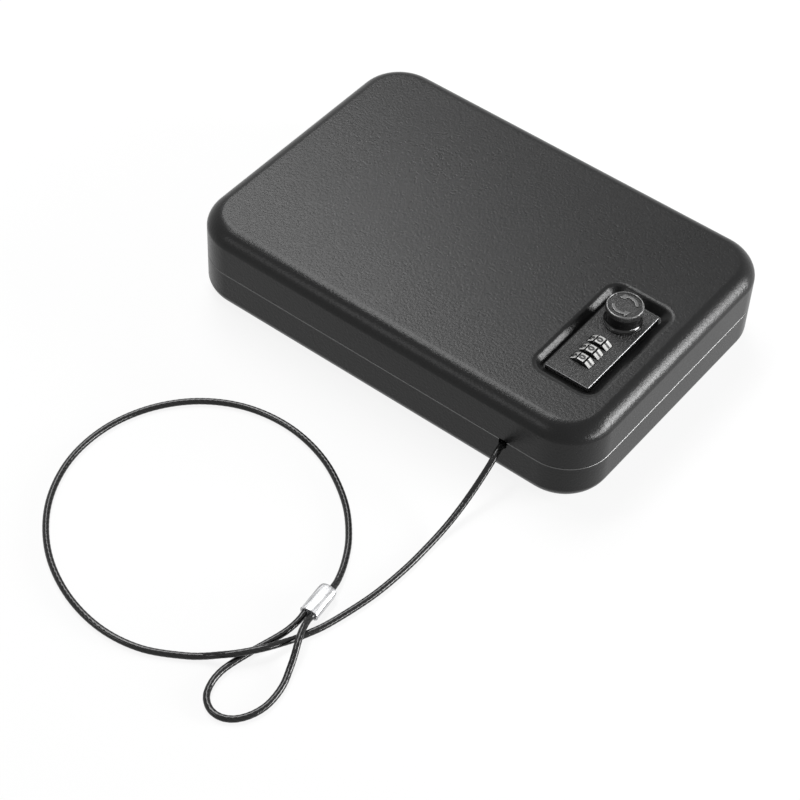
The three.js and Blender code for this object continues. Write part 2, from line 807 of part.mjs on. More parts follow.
function makeHub() {
  const coreRadius = dialBoreRadius - fitGap;
  const core = rod(coreRadius, -dialWidth / 2, dialWidth / 2);
  const gate = rod(gateRadius, 0, dialWidth / 2 + sideDiscWidth);
  const star = [];
  for (let tooth = 0; tooth < digitCount; tooth++) {
    const middle = ((2 * tooth + 1) * Math.PI) / digitCount;
    star.push(...arcPoints(gateRadius, middle - detentToothHalf, middle + detentToothHalf, 1));
    star.push(pointAt(gateRadius - detentDepth, middle + Math.PI / digitCount));
  }
  const detents = raised(star, -dialWidth / 2 - sideDiscWidth, 0);
  const hub = ontoY(joined(core, gate, detents));
  const bore = ontoY(rod(axleRadius + fitGap, -dialPitch, dialPitch, smallSteps));
  const notch = block(
    [-gateNotchWidth / 2, dialWidth / 2, -gateRadius - overrun],
    [gateNotchWidth / 2, hubHalfWidth + overrun, gateNotchDepth - gateRadius],
  );
  return cut(hub, bore, notch);
}

// The leaf spring: a strip against the case's side wall with one finger under each star
function makeSpring() {
  const wall = caseWidth / 2 - caseWall - fitGap;
  const fingerTop = dialAxisHeight - gateRadius + detentDepth;
  const tip = Math.sqrt((gateRadius + fitGap) ** 2 - (dialAxisHeight - fingerTop) ** 2);
  const middles = dialOffsets.map((y) => y - dialWidth / 2 - sideDiscWidth / 2);
  const from = middles[dialCount - 1] - sideDiscWidth;
  const to = middles[0] + sideDiscWidth;
  const strip = block([wall - springSheet, from, coverTop + fitGap * 2], [wall, to, fingerTop]);
  const fingerHalf = sideDiscWidth / 2;
  const fingers = middles.map((y) =>
    block([tip + fitGap, y - fingerHalf, fingerTop - springSheet], [wall, y + fingerHalf, fingerTop]),
  );
  return joined(strip, ...fingers);
}

// The knob
function makeKnob() {
  const points = knurlTeeth * 2;
  const ring = (radius, height, depth = 0) =>
    Array.from({ length: points }, (_, index) => {
      const angle = (index * 2 * Math.PI) / points;
      const reach = radius - (index % 2) * depth;
      return [reach * Math.cos(angle), reach * Math.sin(angle), height];
    });
  const head = loft([
    ring(knobHeadRadius, knobHeadBottom, knurlDepth),
    ring(knobHeadRadius, knobTop - knobRimChamfer, knurlDepth),
    ring(knobHeadRadius - knobRimChamfer, knobTop),
    ring(knobFaceRadius, knobTop),
    ring(knobFaceRadius, knobTop - knobFaceDepth),
  ]);
  const skirt = turned([
    [0, knobBottom],
    [knobSkirtRadius - knobRimChamfer, knobBottom],
    [knobSkirtRadius, knobBottom + knobRimChamfer],
    [knobSkirtRadius, knobHeadBottom + knobRimChamfer],
    [0, knobHeadBottom + knobRimChamfer],
  ]);
  const bore = rod(spindleRadius + fitGap, knobBottom - overrun, knobHeadBottom);
  return cut(joined(head, skirt), bore);
}

// The disc in the knob's face, with two raised arrows that show which way it turns
function makeKnobCap() {
  const low = knobTop - knobFaceDepth + fitGap;
  const high = knobTop - knobCapDrop;
  const disc = rod(knobFaceRadius - fitGap, low, high);
  const outer = knobFaceRadius * arrowOuterShare;
  const inner = knobFaceRadius * arrowInnerShare;
  const wide = knobFaceRadius * arrowWideShare;
  const narrow = knobFaceRadius * arrowNarrowShare;
  const arrows = [0, Math.PI].map((turn) => {
    const outline = [
      ...arcPoints(outer, 0, arrowBend, cornerSteps),
      pointAt(wide, arrowBend),
      pointAt((outer + inner) / 2, arrowTip),
      pointAt(narrow, arrowBend),
      ...arcPoints(inner, arrowBend, 0, cornerSteps),
    ];
    return raised(outline, (low + high) / 2, high + arrowHeight).rotateZ(turn);
  });
  return joined(disc, ...arrows);
}

function makeKnobRing() {
  const inner = knobSkirtRadius + fitGap;
  return turned([
    [inner, knobBottom],
    [ringOuterRadius, knobBottom],
    [ringOuterRadius, knobBottom + ringHeight / 2],
    [inner + fitGap, knobBottom + ringHeight],
    [inner, knobBottom + ringHeight],
    [inner, knobBottom],
  ]);
}

// The spindle: round through the plate and case, square in the cam, and a threaded stud below,
// with the helical collar that lowers the fence as the latch is turned home
function makeSpindle() {
  const half = spindleSquare / 2;
  const top = knobHeadBottom - fitGap;
  const squareTop = camTop + fitGap;
  const squareUnder = washerTop;
  const round = rod(spindleRadius, squareTop, top);
  const square = block([-half, -half, squareUnder], [half, half, squareTop + overrun]);
  const stud = rod(studRadius, nutUnder - studOvershoot, squareUnder + camSheet, smallSteps);
  return joined(round, square, stud, makeCollar());
}

function makeCollar() {
  const low = coverTop + fitGap;
  const lowest = low + collarFloor;
  const highest = lowest + fenceTravel;
  const follower = -Math.PI / 2;
  const inner = spindleRadius / 2;
  const heightAt = (angle) => {
    const turn = THREE.MathUtils.euclideanModulo(angle - follower + collarRest, 2 * Math.PI) - collarRest;
    if (turn <= 0) return highest;
    if (turn <= Math.PI / 2) return highest - (fenceTravel * turn) / (Math.PI / 2);
    if (turn <= Math.PI / 2 + collarRest) return lowest;
    const back = (turn - Math.PI / 2 - collarRest) / (2 * Math.PI - Math.PI / 2 - 2 * collarRest);
    return lowest + fenceTravel * Math.min(back, 1);
  };
  const sections = roundSteps * 2;
  const points = [];
  const faces = [];
  for (let index = 0; index < sections; index++) {
    const angle = (index * 2 * Math.PI) / sections;
    const high = heightAt(angle);
    [[inner, low], [collarRadius, low], [collarRadius, high], [inner, high]].forEach(([radius, z]) =>
      points.push(radius * Math.cos(angle), radius * Math.sin(angle), z),
    );
    for (let corner = 0; corner < 4; corner++) {
      const here = index * 4 + corner;
      const beside = index * 4 + ((corner + 1) % 4);
      const onward = ((index + 1) % sections) * 4 + corner;
      const across = ((index + 1) % sections) * 4 + ((corner + 1) % 4);
      faces.push(here, across, beside, here, onward, across);
    }
  }
  const collar = new THREE.BufferGeometry();
  collar.setAttribute("position", new THREE.Float32BufferAttribute(points, 3));
  collar.setIndex(faces);
  return collar;
}

// The latch cam, pointing along +Y while it is unlocked
function makeCam() {
  const half = camWidth / 2;
  const tipRound = camWidth / 4;
  const hub = rod(camHubRadius, camUnder, camTop);
  const arm = raised(
    [
      [half, 0],
      [half, camReach - tipRound],
      [half - tipRound, camReach],
      [tipRound - half, camReach],
      [-half, camReach - tipRound],
      [-half, 0],
    ],
    camUnder,
    camTop,
  );
  const square = spindleSquare / 2 + fitGap;
  const squareHole = block([-square, -square, camUnder - overrun], [square, square, camTop + overrun]);
  return cut(joined(hub, arm), squareHole);
}

function makeWasher() {
  return cut(
    rod(washerRadius, washerUnder, washerTop),
    rod(studRadius + fitGap, washerUnder - overrun, washerTop + overrun, smallSteps),
  );
}

function makeNut() {
  const corner = nutAcrossFlats / Math.sqrt(3);
  return cut(
    rod(corner, nutUnder, nutTop, 6),
    rod(studRadius + fitGap, nutUnder - overrun, nutTop + overrun, smallSteps),
  );
}

// The fence: a bar under the dials with one post at each gate disc, riding on the collar
function makeFence() {
  const half = fenceWidth / 2;
  const postHalf = fencePostWidth / 2;
  const low = coverTop + fitGap + collarFloor + fenceTravel + followerGap;
  const middles = dialOffsets.map((y) => y + dialWidth / 2 + sideDiscWidth / 2);
  const start = middles[dialCount - 1] - fenceWidth;
  const end = knobOffset - spindleRadius - 2 * fitGap;
  const bar = block([-half, start, low], [half, end, low + fenceThickness]);
  const posts = middles.map((y) =>
    block(
      [-postHalf, y - fencePostSheet / 2, low],
      [postHalf, y + fencePostSheet / 2, dialAxisHeight - gateRadius - fenceGap],
    ),
  );
  return joined(bar, ...posts);
}

// The cable: where its middle runs, chosen by eye along the photographed cable, as [x, y, z],
// and z is left out where it lies on the ground
const runRoute = [
  [76.4, -80.2, 20.9], [76.6, -85, 20.7], [77.2, -89.5, 19.7], [77.7, -93.1, 18.1], [78, -100.6, 14.1],
  [78.1, -108.1, 10.3], [78.1, -116, 6.9], [78.1, -124.3, 4.3], [78, -132.9, 2.5], [78, -142.4],
  [78, -156.8], [76.3, -178], [72.8, -195.7], [69.4, -208.2], [66.5, -215.3], [64.3, -220.6, 1.9],
  [62, -227.6, 3.9], [59.6, -233.6, 5.4], [55.8, -239.4, 5.7], [51, -245.4, 5.7], [45.5, -249.9, 4.5],
  [39.5, -253.6, 2.3], [33, -258.2], [14.8, -267.9], [-6.3, -271.1], [-30.9, -266.6], [-55, -253.8],
  [-74.3, -233.1], [-84.9, -207.7], [-85.6, -182.1], [-77.9, -159.4], [-63.5, -141.2], [-43.4, -129.3],
  [-19, -125.4], [7.1, -130.6], [31.5, -144.7], [46.5, -160.3], [54.3, -173.1], [58.7, -183.6, 2.6],
  [60.1, -189.3, 3.4],
];
const eyeRoute = [
  [59.1, -207.5, 3.4], [59.5, -212.5, 2.9], [58.8, -218.9, 2.1], [57.5, -224.4], [53.7, -238.2],
  [50.9, -250.2], [50.4, -255.7], [51.1, -261.7], [53.5, -267.8], [56.9, -271.3], [61.2, -273.2],
  [66, -273.1], [70.1, -271.1], [73.2, -267.9], [75.9, -262.9], [77.5, -256.5], [77.4, -249.6],
  [76, -242.4], [73.6, -236, 2.2], [71.5, -230.5, 3.6], [69.3, -225.5, 5.1], [67, -220.6, 5.9],
  [65, -215.4, 5.7], [63.7, -211.3, 4.9], [63.2, -209.2, 4.3], [63, -207.4, 4.1],
];
const ferruleTop = [59.1, -189.8];
const ferruleFoot = [61, -207];

function makeCord(route, steps) {
  const resting = cordRadius + cordLift;
  const points = route.map(([x, y, z = resting]) => new THREE.Vector3(x, y, z));
  const path = new THREE.CatmullRomCurve3(points, false, "centripetal");
  const section = arcPoints(cordRadius, 0, 2 * Math.PI, cordSides).slice(0, cordSides);
  const shape = new THREE.Shape(section.map(([x, y]) => new THREE.Vector2(x, y)));
  return new THREE.ExtrudeGeometry(shape, { steps, bevelEnabled: false, extrudePath: path });
}

// The swaged stop inside the tray that keeps the cable from being pulled out
function makeStop() {
  return ontoY(
    turned([
      [0, 0],
      [stopRadius - stopChamfer, 0],
      [stopRadius, stopChamfer],
      [stopRadius, stopLength - stopChamfer],
      [stopRadius - stopChamfer, stopLength],
      [0, stopLength],
    ]),
  );
}

// The oval sleeve pressed round both strands of the eye, lying on the ground
function makeFerrule() {
  const ring = (along, scale) =>
    Array.from({ length: ferruleSides }, (_, index) => {
      const angle = ((index + 0.5) * 2 * Math.PI) / ferruleSides;
      const flat = (value) => Math.sign(value) * Math.abs(value) ** ferruleSquareness;
      return [
        (ferruleWidth / 2) * scale * flat(Math.cos(angle)),
        (ferruleHeight / 2) * scale * flat(Math.sin(angle)),
        along,
      ];
    });
  const half = ferruleLength / 2;
  const body = loft([
    ring(-half, ferruleFootShare),
    ring(-half + ferruleShoulder / 2, 1),
    ring(half - ferruleShoulder, 1),
    ring(half - ferruleShoulder / 2, ferruleBendShare),
    ring(half, ferruleTopShare),
  ]);
  return body.rotateX(-Math.PI / 2);
}

// The assembly: the tray with the cable, the lid with the lock, and the pieces that the lock turns
const carSafe = new THREE.Group();
const tray = new THREE.Group();
const lid = new THREE.Group();
const lock = new THREE.Group();
const knob = new THREE.Group();
lock.position.set(lockX, lockOffset, 0);
knob.position.set(0, knobOffset, 0);
carSafe.add(tray, lid);
lid.add(lock);
lock.add(knob);

tray.add(
  piece("base_shell", "powderCoat", makeTrayShell()),
  piece("base_lip", "innerPaint", makeLip()),
  piece(
    "base_foam",
    "foam",
    foamPad(boxLength - 2 * foamMargin, boxWidth - 2 * foamMargin, trayFoamThickness),
    [0, 0, sheet + fitGap],
  ),
  piece("base_hinge_leaf", "innerPaint", makeLeaf(-1)),
  piece("hinge_pin", "zincPlate", makePin(), [leftWall, 0, partingHeight]),
  piece("latch_keeper", "zincPlate", makeKeeper(), [0, knobY, 0]),
  piece("cable_stop", "castZinc", makeStop(), [runRoute[0][0], stopFront, notchCentreHeight]),
  piece("cable_run", "jacket", makeCord(runRoute, runSteps)),
  piece("cable_eye", "jacket", makeCord(eyeRoute, eyeSteps)),
);

const ferrule = piece("cable_ferrule", "aluminium", makeFerrule(), [
  (ferruleTop[0] + ferruleFoot[0]) / 2,
  (ferruleTop[1] + ferruleFoot[1]) / 2,
  ferruleHeight / 2 + cordLift,
]);
ferrule.rotation.z = Math.atan2(ferruleFoot[0] - ferruleTop[0], ferruleTop[1] - ferruleFoot[1]);
tray.add(ferrule);

const lidFoamLength = lockX - lidFoamFromLock - leftWall - foamMargin;
const lidFoam = foamPad(lidFoamLength, boxWidth - 2 * foamMargin, lidFoamThickness);
lidFoam.rotateX(Math.PI);
lid.add(
  piece("lid_shell", "powderCoat", makeLidShell()),
  piece("lid_foam", "foam", lidFoam, [
    leftWall + foamMargin + lidFoamLength / 2,
    0,
    boxHeight - sheet - fitGap,
  ]),
  piece("lid_hinge_leaf", "innerPaint", makeLeaf(1)),
);

[["base", -1, tray], ["lid", 1, lid]].forEach(([owner, leafSide, group]) =>
  rivetPlaces(leafSide).forEach(([y, z], index) =>
    group.add(piece(`${owner}_rivet_${index + 1}`, "innerPaint", makeRivet(), [leftWall, y, z])),
  ),
);

const axleLength = earSpan[1] - earSpan[0] - fitGap;
const axle = ontoY(rod(axleRadius, -axleLength / 2, axleLength / 2, smallSteps));
lock.add(
  piece("lock_plate", "crackle", makePlate()),
  piece("lock_case", "castZinc", makeCase()),
  piece("lock_back_cover", "zincPlate", makeCover()),
  piece("dial_axle", "springSteel", axle, [0, (earSpan[0] + earSpan[1]) / 2, dialAxisHeight]),
  piece("detent_spring", "springSteel", makeSpring()),
  piece("fence_bar", "brass", makeFence()),
  piece("reset_lever", "brass", makeLever(), [leverX, leverOffset, 0]),
  piece("knob_ring", "knobBlack", makeKnobRing(), [0, knobOffset, 0]),
);
plateScrewPlaces.forEach((y, index) =>
  lock.add(piece(`plate_screw_${index + 1}`, "zincPlate", makePlateScrew(), [0, y, 0])),
);
coverScrewPlaces.forEach(([x, y], index) =>
  lock.add(piece(`cover_screw_${index + 1}`, "zincPlate", makeCoverScrew(), [x, y, 0])),
);
dialOffsets.forEach((y, index) =>
  lock.add(
    piece(`dial_wheel_${index + 1}`, "dialWhite", makeWheel(), [0, y, dialAxisHeight]),
    piece(`dial_hub_${index + 1}`, "brass", makeHub(), [0, y, dialAxisHeight]),
  ),
);

knob.add(
  piece("knob_body", "knobBlack", makeKnob()),
  piece("knob_cap", "crackle", makeKnobCap()),
  piece("knob_spindle", "castZinc", makeSpindle()),
  piece("latch_cam", "zincPlate", makeCam()),
  piece("cam_washer", "zincPlate", makeWasher()),
  piece("cam_nut", "zincPlate", makeNut()),
);

export default carSafe;
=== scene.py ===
"""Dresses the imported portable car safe: powder-coated shells, the lock in its pocket, and its cable.

Shapes are built in millimetres in the CAD model's frame, and turned into metres when a piece is done.
"""

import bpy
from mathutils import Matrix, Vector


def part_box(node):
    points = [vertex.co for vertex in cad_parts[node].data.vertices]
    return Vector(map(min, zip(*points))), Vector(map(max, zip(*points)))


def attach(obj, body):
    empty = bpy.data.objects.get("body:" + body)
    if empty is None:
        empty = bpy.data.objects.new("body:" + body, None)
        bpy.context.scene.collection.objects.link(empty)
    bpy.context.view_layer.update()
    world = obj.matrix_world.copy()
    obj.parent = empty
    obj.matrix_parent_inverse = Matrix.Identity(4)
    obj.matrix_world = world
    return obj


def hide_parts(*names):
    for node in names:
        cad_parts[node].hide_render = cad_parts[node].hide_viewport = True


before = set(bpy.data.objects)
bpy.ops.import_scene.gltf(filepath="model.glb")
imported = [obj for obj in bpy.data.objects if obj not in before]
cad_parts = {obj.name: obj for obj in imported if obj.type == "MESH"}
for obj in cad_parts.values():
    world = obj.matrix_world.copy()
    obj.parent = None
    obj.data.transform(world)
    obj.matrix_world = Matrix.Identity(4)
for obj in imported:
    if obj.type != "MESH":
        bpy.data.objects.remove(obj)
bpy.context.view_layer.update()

import logging
import math
from dataclasses import dataclass
from enum import Enum
from typing import Callable, Iterable, Sequence, Union

import bmesh
import bpy
from mathutils import Matrix, Vector

log = logging.getLogger("car_safe")

Point = tuple[float, float, float]
Flat = tuple[float, float]
Colour = tuple[float, float, float, float]
MILLIMETRE = 0.001
RIGHT_ANGLE = math.pi / 2
EDGE_FLATNESS = 1.17  # A drawn edge is round at 1, and flatter in its middle above that.
PAST = 2.0  # How far a cutting shape goes past the faces that it cuts through.


class Body(str, Enum):
    """The bodies that the pieces made here ride on, apart from the dials."""

    TRAY = "base"
    LID = "lid"
    KNOB = "knob"
    RESET = "reset"


# Shader building


class Signal:
    """A value or colour in a material, which can be written as arithmetic."""

    def __init__(self, recipe: "Recipe", socket: bpy.types.NodeSocket) -> None:
        """Keeps the socket and the recipe that its node belongs to."""
        self.recipe = recipe
        self.socket = socket

    def _math(self, operation: str, *values: "Value", clamp: bool = False) -> "Signal":
        """Adds one Math node.

        Args:
            operation: The node's operation.
            values: Its inputs in order.
            clamp: Whether the result is kept between 0 and 1.

        Returns:
            The node's result.
        """
        settings = {"operation": operation, "use_clamp": clamp}
        return self.recipe.node("ShaderNodeMath", settings, dict(enumerate(values)))["Value"]

    def __add__(self, other: "Value") -> "Signal":
        """Sum."""
        return self._math("ADD", self, other)

    def __radd__(self, other: "Value") -> "Signal":
        """Sum with a number on the left."""
        return self._math("ADD", other, self)

    def __sub__(self, other: "Value") -> "Signal":
        """Difference."""
        return self._math("SUBTRACT", self, other)

    def __rsub__(self, other: "Value") -> "Signal":
        """Difference from a number on the left."""
        return self._math("SUBTRACT", other, self)

    def __mul__(self, other: "Value") -> "Signal":
        """Product."""
        return self._math("MULTIPLY", self, other)

    def clamped(self) -> "Signal":
        """The value kept between 0 and 1."""
        return self._math("ADD", self, 0.0, clamp=True)

    def swing(self, amount: float) -> "Signal":
        """How far the value is from 0.5, times an amount."""
        return (self - 0.5) * amount

    def step(self, low: float, high: float) -> "Signal":
        """A smooth step of the value.

        Args:
            low: The value at which it is 0.
            high: The value at which it is 1.

        Returns:
            The step.
        """
        inputs = {"Value": self, "From Min": low, "From Max": high}
        settings = {"interpolation_type": "SMOOTHSTEP"}
        return self.recipe.node("ShaderNodeMapRange", settings, inputs)["Result"]

    def mixed(self, first: Colour, second: Union[Colour, "Signal"]) -> "Signal":
        """The colour between two colours, where this value is the share of the second."""
        inputs = {"Factor": self, 6: first, 7: second}
        return self.recipe.node("ShaderNodeMix", {"data_type": "RGBA"}, inputs)[2]


Value = Union[float, int, Signal]


class Made:
    """A node that was just added, whose outputs are read by name or number."""

    def __init__(self, recipe: "Recipe", node: bpy.types.Node) -> None:
        """Keeps the node and its recipe."""
        self.recipe = recipe
        self.node = node

    def __getitem__(self, key: Union[str, int]) -> Signal:
        """The output of that name or number."""
        return Signal(self.recipe, self.node.outputs[key])


class Recipe:
    """The node tree of one material or of the world."""

    def __init__(self, owner: Union[bpy.types.Material, bpy.types.World]) -> None:
        """Empties a node tree.

        Args:
            owner: The material or the world whose tree it is.
        """
        owner.use_nodes = True
        self.owner = owner
        self.tree = owner.node_tree
        self.tree.nodes.clear()

    @classmethod
    def material(cls, name: str) -> "Recipe":
        """A recipe for a new material."""
        return cls(bpy.data.materials.new(name))

    def node(self, kind: str, settings: dict | None = None, inputs: dict | None = None) -> Made:
        """Adds any node.

        Args:
            kind: The node's type.
            settings: Its settings, which are set first.
            inputs: What goes into its sockets, by name or number: a value or a signal.

        Returns:
            The node.
        """
        node = self.tree.nodes.new(kind)
        for key, value in (settings or {}).items():
            setattr(node, key, value)
        for key, value in (inputs or {}).items():
            if isinstance(value, Signal):
                self.tree.links.new(value.socket, node.inputs[key])
            else:
                node.inputs[key].default_value = value
        return Made(self, node)

    def place(self) -> Signal:
        """The point on the object, in metres in the safe's frame."""
        return self.node("ShaderNodeTexCoord")["Object"]

    def noise(self, scale: float, detail: float = 2.0, stretch: Point | None = None) -> Signal:
        """A noise between about 0.2 and 0.8.

        Args:
            scale: Waves per metre.
            detail: How many finer layers it holds.
            stretch: How much the pattern is squeezed along each axis, if it is.

        Returns:
            The noise value.
        """
        where = self.place()
        if stretch:
            settings = {"operation": "MULTIPLY"}
            where = self.node("ShaderNodeVectorMath", settings, {0: where, 1: stretch})["Vector"]
        return self.node("ShaderNodeTexNoise", None, {"Vector": where, "Scale": scale, "Detail": detail})["Fac"]

    def cells(self, scale: float) -> Signal:
        """The distance field of a cell pattern with that many cells per metre."""
        return self.node("ShaderNodeTexVoronoi", None, {"Vector": self.place(), "Scale": scale})["Distance"]

    def bump(self, height: Signal, depth: float, strength: float = 1.0) -> Signal:
        """A normal from a height, which is given as a share of the depth in metres."""
        inputs = {"Height": height, "Distance": depth, "Strength": strength}
        return self.node("ShaderNodeBump", None, inputs)["Normal"]

    def surface(self, **sockets: Union[float, Colour, Signal]) -> bpy.types.Material:
        """Ends a material with one Principled shader.

        Args:
            sockets: What goes into the shader, with underscores for the spaces in its socket names.

        Returns:
            The finished material.
        """
        inputs = {key.replace("_", " "): value for key, value in sockets.items()}
        shader = self.node("ShaderNodeBsdfPrincipled", None, inputs)
        self.node("ShaderNodeOutputMaterial", None, {"Surface": shader["BSDF"]})
        return self.owner


def grey(value: float, warmth: float = 0.0) -> Colour:
    """A grey, a little warmer or cooler."""
    return (value * (1 + warmth), value, value * (1 - warmth), 1.0)


# Finishes


@dataclass(frozen=True)
class PowderCoat:
    """Satin black powder coat with a fine orange peel."""

    base: float = 0.005
    roughness: float = 0.3
    gloss_level: float = 0.205
    grain: float = 850.0
    grain_depth: float = 0.00012
    pit_fineness: float = 2.7
    cloud_scale: float = 18.0
    cloud_share: float = 0.12
    coolness: float = -0.02
    pit_share: float = 0.2
    peel_swing: float = 0.12
    cloud_swing: float = 0.05

    def material(self, name: str) -> bpy.types.Material:
        """Makes the material.

        Args:
            name: The material's name.

        Returns:
            The material.
        """
        recipe = Recipe.material(name)
        peel = recipe.noise(self.grain, 1.5)
        pits = recipe.noise(self.grain * self.pit_fineness, 1.0)
        cloud = recipe.noise(self.cloud_scale)
        dark, light = (grey(self.base * (1 + side * self.cloud_share), self.coolness) for side in (-1, 1))
        return recipe.surface(
            Base_Color=cloud.mixed(dark, light),
            Roughness=self.roughness + peel.swing(self.peel_swing) + cloud.swing(self.cloud_swing),
            Specular_IOR_Level=self.gloss_level,
            Normal=recipe.bump(peel * (1 - self.pit_share) + pits * self.pit_share, self.grain_depth),
        )


@dataclass(frozen=True)
class CracklePaint:
    """Black crackle paint: small islands of paint with fine valleys between them."""

    base: float = 0.03
    roughness: float = 0.36
    gloss_level: float = 0.38
    islands: float = 1150.0
    depth: float = 0.00045
    warp_scale: float = 900.0
    island_edge: Flat = (0.32, 0.78)
    top_share: float = 1.35
    valley_share: float = 0.6
    valley_roughness: float = 0.16
    cell_share: float = 0.7
    warp_share: float = 0.5

    def material(self, name: str) -> bpy.types.Material:
        """Makes the material.

        Args:
            name: The material's name.

        Returns:
            The material.
        """
        recipe = Recipe.material(name)
        cells = recipe.cells(self.islands) * self.cell_share
        valleys = (cells + recipe.noise(self.warp_scale) * self.warp_share).step(*self.island_edge)
        # The islands are painted lighter and the valleys darker, as painted shade in the valleys.
        return recipe.surface(
            Base_Color=valleys.mixed(grey(self.base * self.top_share), grey(self.base * self.valley_share)),
            Roughness=self.roughness + valleys * self.valley_roughness,
            Specular_IOR_Level=self.gloss_level,
            Normal=recipe.bump(1 - valleys, self.depth),
        )


@dataclass(frozen=True)
class GlossBlack:
    """Smooth glossy black, with faint handling haze."""

    base: float = 0.006
    roughness: float = 0.14
    gloss_level: float = 0.38
    haze_scale: float = 160.0
    ripple_scale: float = 1800.0
    ripple_depth: float = 0.00002
    ripple_strength: float = 0.35
    haze_swing: float = 0.12
    tone_shares: Flat = (0.9, 1.2)

    def material(self, name: str) -> bpy.types.Material:
        """Makes the material.

        Args:
            name: The material's name.

        Returns:
            The material.
        """
        recipe = Recipe.material(name)
        haze = recipe.noise(self.haze_scale, 3.0)
        ripple = recipe.noise(self.ripple_scale, 1.0)
        return recipe.surface(
            Base_Color=haze.mixed(*(grey(self.base * share) for share in self.tone_shares)),
            Roughness=self.roughness + haze.swing(self.haze_swing),
            Specular_IOR_Level=self.gloss_level,
            Normal=recipe.bump(ripple, self.ripple_depth, self.ripple_strength),
        )


@dataclass(frozen=True)
class Metal:
    """A bare or plated metal with fine directional marks and a little tarnish. Where it is streaked, its colour
    holds painted reflection streaks along the marks instead of the tarnish.
    """

    bright: Colour = (0.76, 0.77, 0.79, 1.0)
    dull: Colour = (0.6, 0.61, 0.63, 1.0)
    roughness: float = 0.3
    marks: float = 500.0
    stretch: Point = (1.0, 1.0, 1.0)
    depth: float = 0.00003
    streaked: bool = False
    stain_scale: float = 70.0
    streak_edge: Flat = (0.38, 0.62)
    mark_swing: float = 0.22
    stain_swing: float = 0.08
    mark_strength: float = 0.5

    def material(self, name: str) -> bpy.types.Material:
        """Makes the material, whose colour follows its marks as painted reflection streaks where it is streaked, and
        a faint stain elsewhere.

        Args:
            name: The material's name.

        Returns:
            The material.
        """
        recipe = Recipe.material(name)
        marks = recipe.noise(self.marks, 3.0, self.stretch)
        stain = recipe.noise(self.stain_scale, 4.0)
        shade = marks.step(*self.streak_edge) if self.streaked else stain
        return recipe.surface(
            Base_Color=shade.mixed(self.bright, self.dull),
            Metallic=1.0,
            Roughness=self.roughness + marks.swing(self.mark_swing) + stain.swing(self.stain_swing),
            Normal=recipe.bump(marks, self.depth, self.mark_strength),
        )


@dataclass(frozen=True)
class Foam:
    """Open-cell black foam."""

    base: float = 0.014
    pores: float = 1500.0
    lump_scale: float = 420.0
    pore_depth: float = 0.0005
    pore_strength: float = 0.8
    pore_gain: float = 1.2
    lump_share: float = 0.3
    lump_swing: float = 0.08
    tone_shares: Flat = (1.7, 0.35)
    warmth: float = -0.03
    roughness: float = 0.93
    gloss_level: float = 0.2
    sheen: float = 0.25
    sheen_roughness: float = 0.6

    def material(self, name: str) -> bpy.types.Material:
        """Makes the material.

        Args:
            name: The material's name.

        Returns:
            The material.
        """
        recipe = Recipe.material(name)
        lumps = recipe.noise(self.lump_scale, 3.0)
        pores = (recipe.cells(self.pores) * self.pore_gain).clamped()
        height = pores * (1 - self.lump_share) + lumps * self.lump_share
        # The foam's tops are painted lighter and its pores darker by their depth: painted shade in the pores, mixed
        # with a random lumpy tone.
        top, deep = self.tone_shares
        return recipe.surface(
            Base_Color=(1 - height).mixed(grey(self.base * top, self.warmth), grey(self.base * deep)),
            Roughness=self.roughness + lumps.swing(self.lump_swing),
            Specular_IOR_Level=self.gloss_level,
            Sheen_Weight=self.sheen,
            Sheen_Roughness=self.sheen_roughness,
            Normal=recipe.bump(height, self.pore_depth, self.pore_strength),
        )


@dataclass(frozen=True)
class CableJacket:
    """A glossy smoke-black jacket over twisted strands, whose crests show through it lighter: partly the steel's own
    colour, partly painted glints.
    """

    jacket: float = 0.005
    strand: float = 0.019
    gloss_level: float = 0.28
    roughness: float = 0.15
    wire_scale: float = 900.0
    wire_depth: float = 0.00002
    wire_strength: float = 0.3
    wire_swing: float = 0.08
    ridge_edge: Flat = (0.7, 1.0)
    least_glint: float = 0.5
    wire_glint: float = 0.6
    strand_warmth: float = -0.02

    def material(self, name: str) -> bpy.types.Material:
        """Makes the material.

        Args:
            name: The material's name.

        Returns:
            The material.
        """
        recipe = Recipe.material(name)
        ridge = recipe.node("ShaderNodeAttribute", {"attribute_name": "strand"})["Fac"]
        wires = recipe.noise(self.wire_scale)
        # The strands' crests are painted lighter, partly the steel's colour through the jacket and partly painted
        # glints.
        glint = ridge.step(*self.ridge_edge) * (self.least_glint + wires * self.wire_glint)
        return recipe.surface(
            Base_Color=glint.clamped().mixed(grey(self.jacket), grey(self.strand, self.strand_warmth)),
            Roughness=self.roughness + wires.swing(self.wire_swing),
            Specular_IOR_Level=self.gloss_level,
            Normal=recipe.bump(wires, self.wire_depth, self.wire_strength),
        )


@dataclass(frozen=True)
class DialEnamel:
    """Off-white enamel with faint grime."""

    base: Colour = (0.42, 0.42, 0.411, 1.0)
    soiled: Colour = (0.32, 0.32, 0.308, 1.0)
    roughness: float = 0.3
    grime_scale: float = 500.0
    grime_depth: float = 0.00003
    grime_strength: float = 0.3
    grime_edge: Flat = (0.6, 0.8)
    grime_roughness: float = 0.12

    def material(self, name: str) -> bpy.types.Material:
        """Makes the material.

        Args:
            name: The material's name.

        Returns:
            The material.
        """
        recipe = Recipe.material(name)
        grime = recipe.noise(self.grime_scale, 3.0)
        return recipe.surface(
            Base_Color=grime.step(*self.grime_edge).mixed(self.base, self.soiled),
            Roughness=self.roughness + grime * self.grime_roughness,
            Normal=recipe.bump(grime, self.grime_depth, self.grime_strength),
        )


